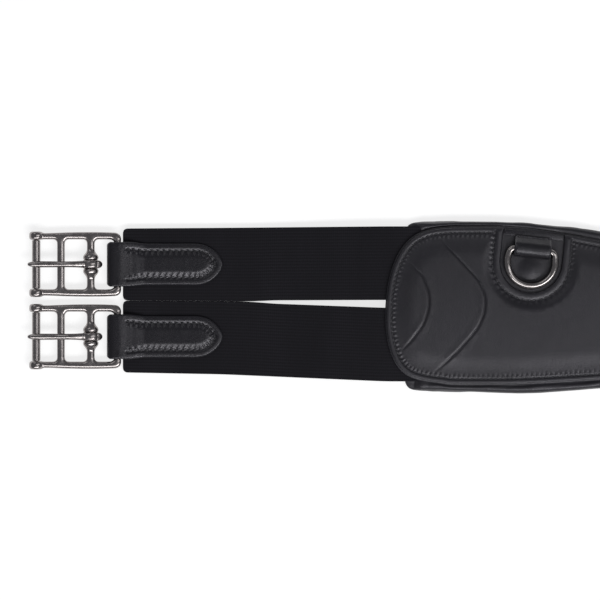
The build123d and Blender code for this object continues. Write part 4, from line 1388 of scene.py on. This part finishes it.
@dataclass
class Chape:
    """Leather tab that sandwiches a strap's end and folds round the buckle's bar."""

    thickness: float = 2.2 * MM
    seam_inset: float = 4.4 * MM
    pitch: float = 3.7 * MM
    tip_length: float = 17.0 * MM
    tab_half: float = 12.75 * MM
    shoulder: float = 15.0 * MM
    under_length: float = 47.0 * MM
    fold_taper: float = 2.2 * MM
    sewn_past_hip: float = 12.0 * MM
    crown: float = 0.85 * MM
    groove: float = 0.62 * MM
    scallop: float = 0.34 * MM

    def __post_init__(self) -> None:
        """Reads the right front chape's place, which the others copy."""
        self.strap = "right_front"
        low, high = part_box(f"chape_{self.strap}")
        self.bar = np.array(joint_of(f"buckle_{self.strap}_swing")["pos_m"], float)
        self.neck_half = float(high.y - low.y) / 2
        outer = float(high.z - low.z) / 2
        inner = outer - self.thickness
        tip = float(low.x)
        fold = float(high.x) - outer
        tab_level = self.tab_level()
        mid = float(low.z) + outer
        knee = self.bar[0] - 1.6 * MM
        hip = knee - self.shoulder
        arc = [(fold + inner * math.sin(a), mid + inner * math.cos(a)) for a in np.linspace(0, math.pi, 25)]
        self.path = FoldPath(np.vstack([[(tip, tab_level), (hip, tab_level), (knee, mid + inner)], arc,
                                        [(self.bar[0] - self.under_length, mid - inner)]]), 2.0 * MM)
        self.hip_at = hip - tip
        self.fold_at = float(np.interp(fold, self.path.line[:, 0][:int(np.argmax(self.path.line[:, 0]))],
                                       self.path.along[:int(np.argmax(self.path.line[:, 0]))]))
        self.middle_y = (low.y + high.y) / 2

    def tab_level(self) -> float:
        """Level of the strap's top where the tab lies on it."""
        mesh = frame["nodes"][f"elastic_{self.strap}"].data
        return max(v.co.z for v in mesh.vertices if v.co.x > self.bar[0] - 20 * MM)

    def outline(self) -> Points:
        """The flat cut piece: pointed-round tip, straight sides, wider neck, square under leg."""
        back = np.linspace(0, 1, 60) ** 2
        half = self.tab_half * (1 - (1 - back) ** 2.1) ** 0.66
        tip = np.column_stack([self.tip_length * back, half])
        neck_from = self.hip_at + 9 * MM
        side = np.array([(self.tip_length + 0.5 * MM, self.tab_half), (self.hip_at, self.tab_half),
                         (neck_from, self.neck_half), (self.path.length, self.neck_half),
                         (self.path.length, 0)])
        upper = rounded_run(even_run(np.vstack([tip, side]), 0.8 * MM), 1.2 * MM)
        lower = upper[::-1] * (1, -1)
        return np.vstack([lower[:-1], upper[:-1]])[::1]

    def relief(self, where: Points) -> Points:
        """Height over the plain thickness: rounded edge, sewn groove, scallops and a raised middle."""
        edge, along = self.border.measure(where)
        roll = 0.7 * MM
        turn = np.clip(1 - edge / roll, 0, 1)
        height = -roll * (1 - np.sqrt(np.maximum(1 - turn * turn, 0)))
        sewn = smooth_step((self.hip_at + 13.5 * MM - where[:, 0]) / (3 * MM))
        inside = smooth_step((edge - self.seam_inset - 0.2 * MM) / (4.5 * MM)) * smooth_step(
            (self.hip_at + 12 * MM - where[:, 0]) / (14 * MM))
        beat = np.cos(2 * np.pi * along / self.pitch)
        height += self.crown * inside
        height -= sewn * self.groove * bell(edge - self.seam_inset, 0.7 * MM) * (0.72 + 0.28 * beat)
        height -= sewn * self.scallop * bell(edge - self.seam_inset - 1.5 * MM, 0.9 * MM) * beat
        height += sewn * 0.20 * MM * bell(edge - 2.3 * MM, 1.1 * MM)
        past_hip = where[:, 0] - self.hip_at
        folds = np.sin(2 * np.pi * past_hip / (4.3 * MM)) * bell(past_hip - 7 * MM, 5 * MM)
        height += 0.018 * MM * folds * smooth_step(edge / (3 * MM))
        pucker = bell(past_hip - 13.5 * MM, 1.1 * MM) + bell(past_hip - 16 * MM, MM)
        height += 0.20 * MM * pucker * bell(edge - 2.4 * MM, 1.8 * MM)
        return height + 0.06 * MM * drift(where, 9 * MM, 4.4)

    def lay(self, flat: Points, height: Points) -> Points:
        """Places the flat piece along the strap and round the bar."""
        side_view = self.path.place(flat[:, 0], height)
        fold_end = self.path.line[:, 0].max() + self.thickness
        outer = np.clip(1 - (fold_end - side_view[:, 0]) / self.fold_taper, 0, 1)
        width = flat[:, 1] - np.sign(flat[:, 1]) * self.fold_taper * 0.55 * outer * smooth_step(
            1 - (self.neck_half - np.abs(flat[:, 1])) / (5 * MM))
        return np.column_stack([side_view[:, 0], self.middle_y + width, side_view[:, 1]])

    def build(self) -> tuple[bpy.types.Object, bpy.types.Object]:
        """Makes the right front chape and its stitching.

        Returns:
            The leather and the thread.
        """
        outline = self.outline()
        if signed_area(outline) < 0:
            outline = outline[::-1]
        self.border = Seam(np.vstack([outline, outline[:1]]))
        rows = []
        for depth, step in ((0.2, 0.8), (0.5, 0.8), (0.9, 0.9), (1.6, 1.0), (2.5, 1.0)):
            rows.append(self.border.beside(depth * MM, step * MM))
        for shift in (-0.9, -0.4, 0, 0.4, 0.9, 1.5, 2.2, 3.2):
            rows.append(self.border.beside(self.seam_inset + shift * MM, 0.75 * MM))
        marks = np.vstack(rows)
        low, high = outline.min(0), outline.max(0)
        grid = grid_points(low, high, 0.9 * MM)
        guides = np.vstack([marks, grid])
        half = np.interp(guides[:, 0], *self.half_widths(outline))
        inside = (np.abs(guides[:, 1]) < half - 0.15 * MM) & (guides[:, 0] < high[0] - 0.15 * MM)
        guides = guides[inside]
        guides = guides[self.border.measure(guides)[0] > 0.15 * MM]
        sheet = LeatherSheet(f"chape_leather_{self.strap}", outline, guides, self.thickness * 0.93,
                             self.relief, self.lay, Back.FOLLOWING, 0.3 * MM)
        leather = sheet.build()
        row = self.border.beside(self.seam_inset, 0.5 * MM)
        row = row[self.border.measure(row)[0] > self.seam_inset - 0.25 * MM]
        sewn_to = self.hip_at + self.sewn_past_hip
        row = row[row[:, 0] < sewn_to]
        order = np.argsort(np.arctan2(row[:, 1], sewn_to - row[:, 0]))
        row = row[order]
        line = self.lay(row, self.thickness * 0.93 + self.relief(row) + 0.26 * MM)
        off = self.path.facing(row[:, 0])
        facing = np.column_stack([off[:, 0], np.zeros(len(off)), off[:, 1]])
        thread = Thread(pitch=self.pitch, gap=0.9 * MM, radius=0.42 * MM).sew(f"chape_thread_{self.strap}",
                                                                             [(line, facing)])
        return leather, thread

    @staticmethod
    def half_widths(outline: Points) -> tuple[Points, Points]:
        """The outline's half width as a table along the piece."""
        upper = outline[outline[:, 1] >= 0]
        upper = upper[np.argsort(upper[:, 0], kind="stable")]
        return upper[:, 0], np.maximum.accumulate(upper[:, 1])


@dataclass
class FrameCasting:
    """Buckle frame as cast and tumbled, with its bars drawn round from the frame's own solid."""

    kind: str = "buckle_frame"
    cell: float = 0.42 * MM
    passes: int = 14
    regain: float = 0.16 * MM

    def build(self, strap: str) -> bpy.types.Object:
        """Rounds a copy of one cast piece.

        Args:
            strap: the strap's name, such as "left_front".

        Returns:
            The casting.
        """
        node = frame["nodes"][f"{self.kind}_{strap}"]
        casting = bpy.data.objects.new(f"{self.kind}_casting_{strap}", node.data.copy())
        casting.data.transform(node.matrix_world)
        bpy.context.scene.collection.objects.link(casting)
        pick(casting)
        bpy.ops.object.mode_set(mode="EDIT")
        bpy.ops.mesh.select_all(action="SELECT")
        bpy.ops.mesh.remove_doubles(threshold=1e-6)
        bpy.ops.object.mode_set(mode="OBJECT")
        cells = casting.modifiers.new("cells", "REMESH")
        cells.mode, cells.voxel_size, cells.use_smooth_shade = "VOXEL", self.cell, True
        bpy.ops.object.modifier_apply(modifier=cells.name)
        tumble = casting.modifiers.new("tumble", "SMOOTH")
        tumble.factor, tumble.iterations = 0.5, self.passes
        bpy.ops.object.modifier_apply(modifier=tumble.name)
        body = casting.modifiers.new("regain", "DISPLACE")
        body.strength, body.mid_level = self.regain, 0
        bpy.ops.object.modifier_apply(modifier=body.name)
        self.shape(casting, strap)
        close_normals(casting, 80)
        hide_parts(node.name)
        return casting

    def shape(self, casting: bpy.types.Object, strap: str) -> None:
        """Leaves a frame as it was drawn."""


@dataclass
class TongueCasting(FrameCasting):
    """Tongue drawn round in the same way, its heel behind the bar drawn in to a small nose."""

    kind: str = "tongue"
    cell: float = 0.34 * MM
    passes: int = 9
    regain: float = 0.08 * MM
    heel_from: float = 4.4 * MM

    def shape(self, casting: bpy.types.Object, strap: str) -> None:
        """Draws the heel in towards its end.

        Args:
            casting: the rounded tongue.
            strap: the strap's name.
        """
        places = places_of(casting)
        hinge = np.array(joint_of(f"tongue_{strap}_lift")["pos_m"], float)
        past = (hinge[0] - places[:, 0]) * np.sign(hinge[0])
        share = np.clip((past - self.heel_from) / (past.max() - self.heel_from), 0, 1)
        level = places[share > 0, 2].mean()
        drawn = np.sqrt(1 - 0.86 * share ** 2)
        places[:, 1] = hinge[1] + (places[:, 1] - hinge[1]) * drawn
        places[:, 2] = level + (places[:, 2] - level) * drawn
        move_points(casting, places)


@dataclass
class TongueKnuckle:
    """Rounded swelling cast round a tongue's eye, which fills the space between the collars."""

    outer: float = 5.5 * MM
    inner: float = 2.5 * MM
    half_width: float = 2.66 * MM
    fullness: float = 0.55

    def build(self, strap: str) -> bpy.types.Object:
        """Makes one knuckle from a ring, round the tongue's own axis.

        Args:
            strap: the strap's name, such as "left_front".

        Returns:
            The knuckle.
        """
        middle = np.array(joint_of(f"tongue_{strap}_lift")["pos_m"], float)
        deselect_all()
        reach = (self.outer - self.inner) / 2
        bpy.ops.mesh.primitive_torus_add(major_radius=self.inner + reach, minor_radius=reach,
                                         major_segments=48, minor_segments=20,
                                         rotation=(math.radians(90), 0, 0))
        ring = bpy.context.object
        ring.name = ring.data.name = f"tongue_knuckle_{strap}"
        settle_transform(ring)
        places = places_of(ring)
        across = places[:, 1] / reach
        places[:, 1] = self.half_width * np.sign(across) * np.abs(across) ** self.fullness
        move_points(ring, places + middle)
        close_normals(ring, 60)
        return ring


# ---------------------------------------------------------------- elastic straps
@dataclass
class ElasticStrap:
    """Woven elastic strap with firm rounded edges, sewn into the body and into its chape."""

    stations: int = 90
    across: int = 20
    edge_round: float = 0.75 * MM
    corner: float = 3.0 * MM
    waver: float = 0.12 * MM
    meet_from: float = 66 * MM
    meet_gap: float = 0.01 * MM

    def build(self, strap: str) -> bpy.types.Object:
        """Makes one strap along its CAD solid.

        Args:
            strap: the strap's name, such as "left_front".

        Returns:
            The strap.
        """
        node = f"elastic_{strap}"
        low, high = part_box(node)
        deselect_all()
        middle, size = (low + high) / 2, high - low
        bpy.ops.mesh.primitive_cube_add(size=1, location=middle, scale=size)
        piece = bpy.context.object
        piece.name = piece.data.name = f"elastic_strap_{strap}"
        settle_transform(piece)
        self.divide(piece, low, high)
        places = places_of(piece)
        along = places[:, 0].copy()
        share = (places[:, 1] - middle.y) / size.y * 2
        level = (places[:, 2] - middle.z) / size.z * 2
        at, centre, half, bottom, top = self.sections(node, low, high)
        centre, half = self.lean_together(strap, at, centre, half)
        half_here = np.interp(along, at, half)
        outer_end = high.x if abs(high.x) > abs(low.x) else low.x
        from_end = np.abs(along - outer_end)
        cut = np.clip(1 - from_end / self.corner, 0, 1)
        half_here = half_here - self.corner * (1 - np.sqrt(1 - cut * cut)) * 0.9
        y = np.interp(along, at, centre) + share * half_here
        thick = np.interp(along, at, top) - np.interp(along, at, bottom)
        flat = np.column_stack([along, y])
        z = np.interp(along, at, (top + bottom) / 2) + level * thick / 2
        inside = smooth_step((1 - np.abs(share)) * half_here / (6 * MM))
        free = self.free_span(along, strap)
        z += free * (self.waver * drift(flat, 26 * MM, 9.3) + 0.10 * MM * (inside - 1) * np.sign(level))
        move_points(piece, np.column_stack([along, y, z]))
        self.map_strap(piece, along, share * half_here)
        close_normals(piece, 50)
        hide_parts(node)
        return piece

    def divide(self, piece: bpy.types.Object, low: Vector, high: Vector) -> None:
        """Rounds the long edges and divides the block evenly along and across."""
        bpy.ops.object.mode_set(mode="EDIT")
        bpy.ops.mesh.select_mode(type="EDGE")
        bpy.ops.object.mode_set(mode="OBJECT")
        for edge in piece.data.edges:
            a, b = (piece.data.vertices[i].co for i in edge.vertices)
            edge.select = abs(a.x - b.x) > (high.x - low.x) / 2
        bpy.ops.object.mode_set(mode="EDIT")
        bpy.ops.mesh.bevel(offset=self.edge_round, segments=4)
        for axis, count in ((0, self.stations), (1, self.across)):
            normal = tuple(1.0 if i == axis else 0.0 for i in range(3))
            inset = self.edge_round * 1.5 if axis else 0.0
            cuts = np.linspace(low[axis] + inset, high[axis] - inset, count + 2)
            for at in cuts[1 - axis:count + 1 + axis]:
                bpy.ops.mesh.select_all(action="SELECT")
                spot = [0.0, 0.0, 0.0]
                spot[axis] = float(at)
                bpy.ops.mesh.bisect(plane_co=spot, plane_no=normal)
        outer = high.x if abs(high.x) > abs(low.x) else low.x
        for back in (0.3, 0.8, 1.6):
            bpy.ops.mesh.select_all(action="SELECT")
            bpy.ops.mesh.bisect(plane_co=(outer - math.copysign(back * MM, outer), 0, 0), plane_no=(1, 0, 0))
        bpy.ops.object.mode_set(mode="OBJECT")

    def lean_together(self, strap: str, at: Points, centre: Points, half: Points) -> tuple[Points, Points]:
        """Lets a pair of straps meet edge to edge near their buckles.

        Args:
            strap: the strap's name.
            at: stations along it.
            centre: centre line at the stations.
            half: half width at the stations.

        Returns:
            Centre line and half width, with the edge beside the partner moved out.
        """
        end, side = strap.split("_")
        partner = f"elastic_{end}_{'rear' if side == 'front' else 'front'}"
        _, other, other_half, _, _ = self.sections(partner, *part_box(partner))
        toward = np.sign(other - centre)
        gap = np.abs(other - centre) - half - other_half
        away = np.abs(at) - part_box("outer_panel")[1].x
        share = smooth_step((away - self.meet_from) / (25 * MM)) * np.clip((gap - self.meet_gap) / 2, 0, None)
        return centre + toward * share / 2, half + share / 2

    @staticmethod
    def sections(node: str, low: Vector, high: Vector) -> tuple[Points, ...]:
        """Centre line, half width and levels of a CAD strap at stations along it.

        Args:
            node: the CAD node's name.
            low: its lowest corner.
            high: its highest corner.

        Returns:
            Stations, centre, half width, bottom and top.
        """
        mesh = frame["nodes"][node].data
        corners = np.array([v.co for v in mesh.vertices], float)
        ends = np.array([e.vertices for e in mesh.edges])
        a, b = corners[ends[:, 0]], corners[ends[:, 1]]
        at = np.linspace(low.x + 1e-5, high.x - 1e-5, 140)
        rows = []
        for x in at:
            crossing = (a[:, 0] <= x) != (b[:, 0] <= x)
            p, q = a[crossing], b[crossing]
            spot = p + (q - p) * ((x - p[:, 0]) / (q[:, 0] - p[:, 0]))[:, None]
            rows.append((spot[:, 1].min(), spot[:, 1].max(), spot[:, 2].min(), spot[:, 2].max()))
        y0, y1, z0, z1 = np.array(rows).T
        ease = np.hanning(13)[1:-1]
        ease /= ease.sum()
        centre = np.convolve(np.pad((y0 + y1) / 2, 5, "edge"), ease, "valid")
        return at, centre, (y1 - y0) / 2, z0, z1

    @staticmethod
    def free_span(along: Points, strap: str) -> Points:
        """1 where a strap is free between the body and its chape, 0 where it is sewn in."""
        chape_low, chape_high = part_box(f"chape_{strap}")
        tip = min(abs(chape_low.x), abs(chape_high.x))
        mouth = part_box("outer_panel")[1].x
        away = np.abs(along)
        past_mouth = smooth_step((away - mouth - 3 * MM) / (12 * MM))
        return past_mouth * smooth_step((tip - 2 * MM - away) / (10 * MM))

    @staticmethod
    def map_strap(piece: bpy.types.Object, along: Points, across: Points) -> None:
        """Gives the strap a map in millimetres along and across, for its weave."""
        layer = piece.data.uv_layers.new(name="strap")
        corner = np.empty(len(piece.data.loops), int)
        piece.data.loops.foreach_get("vertex_index", corner)
        values = np.column_stack([along[corner], across[corner]]) / MM
        layer.data.foreach_set("uv", values.ravel())


# ---------------------------------------------------------------- studio
@dataclass
class Studio:
    """Pale floor, soft lamps and the camera over the left end of the girth."""

    view_middle: tuple[float, float] = (0.1679, 0.0046)
    view_width: float = 0.369
    camera_height: float = 1.9
    sensor: float = 36.0

    def build(self) -> None:
        """Sets up everything round the girth."""
        self.floor()
        self.lamps()
        self.world()
        self.camera()
        bpy.context.scene.view_settings.view_transform = "Standard"

    def floor(self) -> None:
        """A wide round floor just under the lining."""
        deselect_all()
        bpy.ops.mesh.primitive_circle_add(vertices=96, radius=14, fill_type="NGON",
                                          location=(0, 0, -0.05 * MM))
        floor = bpy.context.object
        floor.name = "floor"
        settle_transform(floor)
        floor.data.materials.append(PaleFloor().material())

    def lamp(self, name: str, place: tuple[float, float, float], aim: tuple[float, float, float],
             size: tuple[float, float], power: float) -> None:
        """Adds one soft box lamp that faces a point."""
        data = bpy.data.lights.new(name, "AREA")
        data.shape, data.size, data.size_y, data.energy = "RECTANGLE", size[0], size[1], power
        lamp = bpy.data.objects.new(name, data)
        lamp.location = place
        lamp.rotation_euler = (Vector(aim) - Vector(place)).to_track_quat("-Z", "Y").to_euler()
        bpy.context.scene.collection.objects.link(lamp)

    def lamps(self) -> None:
        """One wide key from the plain edge's side, a weaker fill and a narrow strip."""
        left = CAD_BOX[0].x + self.view_middle[0]
        self.lamp("key", (left + 0.15, -1.0, 1.55), (left, 0, 0), (2.2, 0.5), 17.2)
        self.lamp("fill", (left - 0.9, 1.3, 1.5), (left, 0, 0), (1.2, 0.5), 2.5)
        self.lamp("side", (left + 1.0, 0.15, 1.75), (left, 0, 0), (0.3, 1.8), 4)
        self.lamp("far_side", (0.6, -1.0, 1.55), (0.4, 0, 0), (1.6, 0.5), 9)

    def world(self) -> None:
        """Even pale grey surroundings."""
        world = bpy.data.worlds.new("studio")
        world.use_nodes = True
        tree = world.node_tree
        tree.nodes.clear()
        around = tree.nodes.new("ShaderNodeBackground")
        around.inputs["Color"].default_value = (0.93, 0.94, 1.0, 1)
        around.inputs["Strength"].default_value = 0.19
        out = tree.nodes.new("ShaderNodeOutputWorld")
        tree.links.new(around.outputs[0], out.inputs["Surface"])
        bpy.context.scene.world = world

    def camera(self) -> None:
        """Straight down over the left end, with the ring edge up."""
        data = bpy.data.cameras.new("camera")
        data.sensor_width = self.sensor
        camera = bpy.data.objects.new("camera", data)
        top = CAD_BOX[1].z * 0.7
        camera.location = (CAD_BOX[0].x + self.view_middle[0], self.view_middle[1], top + self.camera_height)
        data.lens = self.camera_height * self.sensor / self.view_width
        bpy.context.scene.collection.objects.link(camera)
        bpy.context.scene.camera = camera


# ---------------------------------------------------------------- the whole girth
@dataclass
class Girth:
    """Builds and dresses every piece in order."""

    straps: tuple[str, ...] = ("right_front", "right_rear", "left_front", "left_rear")

    def dress_frame(self) -> None:
        """Gives the CAD nodes that stay their finishes."""
        finishes = {
            "buckle_frame_": CastSteel("buckle_steel"),
            "roller_pin_": CastSteel("pin_steel", roughness=0.3, grain=(1, 0.1, 1)),
            "roller_": CastSteel("roller_steel", roughness=0.24, grain=(3, 0.4, 3)),
            "tongue_": CastSteel("tongue_steel", roughness=0.17, grain=(0.5, 2, 2)),
            "ring_": CastSteel("ring_steel", colour=(0.34, 0.32, 0.315, 1), roughness=0.13),
            "web_": InnerLayer("nylon_web", (0.02, 0.02, 0.022, 1), (0.05, 0.05, 0.055, 1), (0.3, 2, 1), 1.2),
            "stiffener": InnerLayer("felt_board", (0.10, 0.085, 0.07, 1), (0.17, 0.15, 0.125, 1),
                                    (1, 1, 1), 0.8),
        }
        made = {prefix: finish.material() for prefix, finish in finishes.items()}
        for name, node in frame["nodes"].items():
            prefix = next((p for p in made if name.startswith(p)), None)
            if prefix is None:
                continue
            for number in range(len(node.material_slots)):
                node.material_slots[number].material = made[prefix]

    def body(self) -> None:
        """Padded body, both leather layers and their stitching."""
        panel_finish = GrainLeather("panel_leather").material()
        lining_finish = GrainLeather("lining_leather", colour=(0.009, 0.0088, 0.0108, 1), roughness=0.40,
                                     grain_size=0.55).material()
        thread_finish = WaxedThread("panel_thread").material()
        top = TopLeather()
        padded = PaddedBody().build(top.base_edge)
        hand_over(padded, lining_finish, "body")
        panel, base = top.panel(), top.base_layer()
        hand_over(panel, panel_finish, "body")
        hand_over(base, GrainLeather("base_leather", roughness=0.40).material(), "body")
        stitching = Thread(pitch=top.pitch).sew("panel_stitching", top.seams())
        hand_over(stitching, thread_finish, "body")
        loop_finish = GrainLeather("loop_leather", roughness=0.30, grain_size=0.6).material()
        for side in ("left", "right"):
            loop, seam = RingLoop().build(side)
            hand_over(loop, loop_finish, "body")
            fine_thread = Thread(pitch=2.3 * MM, gap=0.6 * MM, radius=0.33 * MM)
            thread = fine_thread.sew(f"ring_loop_thread_{side}", seam)
            hand_over(thread, thread_finish, "body")

    def castings(self) -> None:
        """The buckle frames, and the swellings round the tongues' eyes."""
        finish = CastSteel("casting_steel").material()
        for strap in self.straps:
            for maker, body in ((FrameCasting(), "buckle"), (TongueCasting(), "tongue"),
                                (TongueKnuckle(), "tongue")):
                hand_over(maker.build(strap), finish, f"{body}_{strap}")

    def strap_pieces(self) -> None:
        """Elastic straps, and the chapes with their stitching."""
        elastic_finish = RibbedElastic("woven_elastic").material()
        chape_finish = GrainLeather("chape_leather", colour=(0.0050, 0.0048, 0.0062, 1),
                                     bloom=(0.0085, 0.0082, 0.0105, 1), roughness=0.29,
                                     grain_size=0.6, grain_depth=0.028 * MM).material()
        thread_finish = WaxedThread("chape_thread").material()
        chape = Chape()
        first = [(kind, piece, places_of(piece))
                 for kind, piece in zip(("chape_leather", "chape_thread"), chape.build())]
        for strap in self.straps:
            elastic = ElasticStrap().build(strap)
            finish_piece(elastic, elastic_finish)
            low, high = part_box(f"chape_{strap}")
            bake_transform(elastic)
            report(elastic)
            mirror = (-1, 1, 1) if strap.startswith("left") else (1, 1, 1)
            aside = (0, (low.y + high.y) / 2 - chape.middle_y, 0)
            leather, thread = (
                piece if strap == chape.strap
                else copy_piece(piece, f"{kind}_{strap}", places * mirror + aside, mirror[0] < 0)
                for kind, piece, places in first)
            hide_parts(f"chape_{strap}")
            hand_over(leather, chape_finish, f"chape_{strap}")
            hand_over(thread, thread_finish, f"chape_{strap}")


def main() -> None:
    """Builds the girth and the studio round it."""
    logging.basicConfig(level=logging.INFO, format="%(name)s: %(message)s")
    girth = Girth()
    girth.dress_frame()
    girth.body()
    girth.strap_pieces()
    girth.castings()
    Studio().build()


if __name__ == "__main__":
    main()
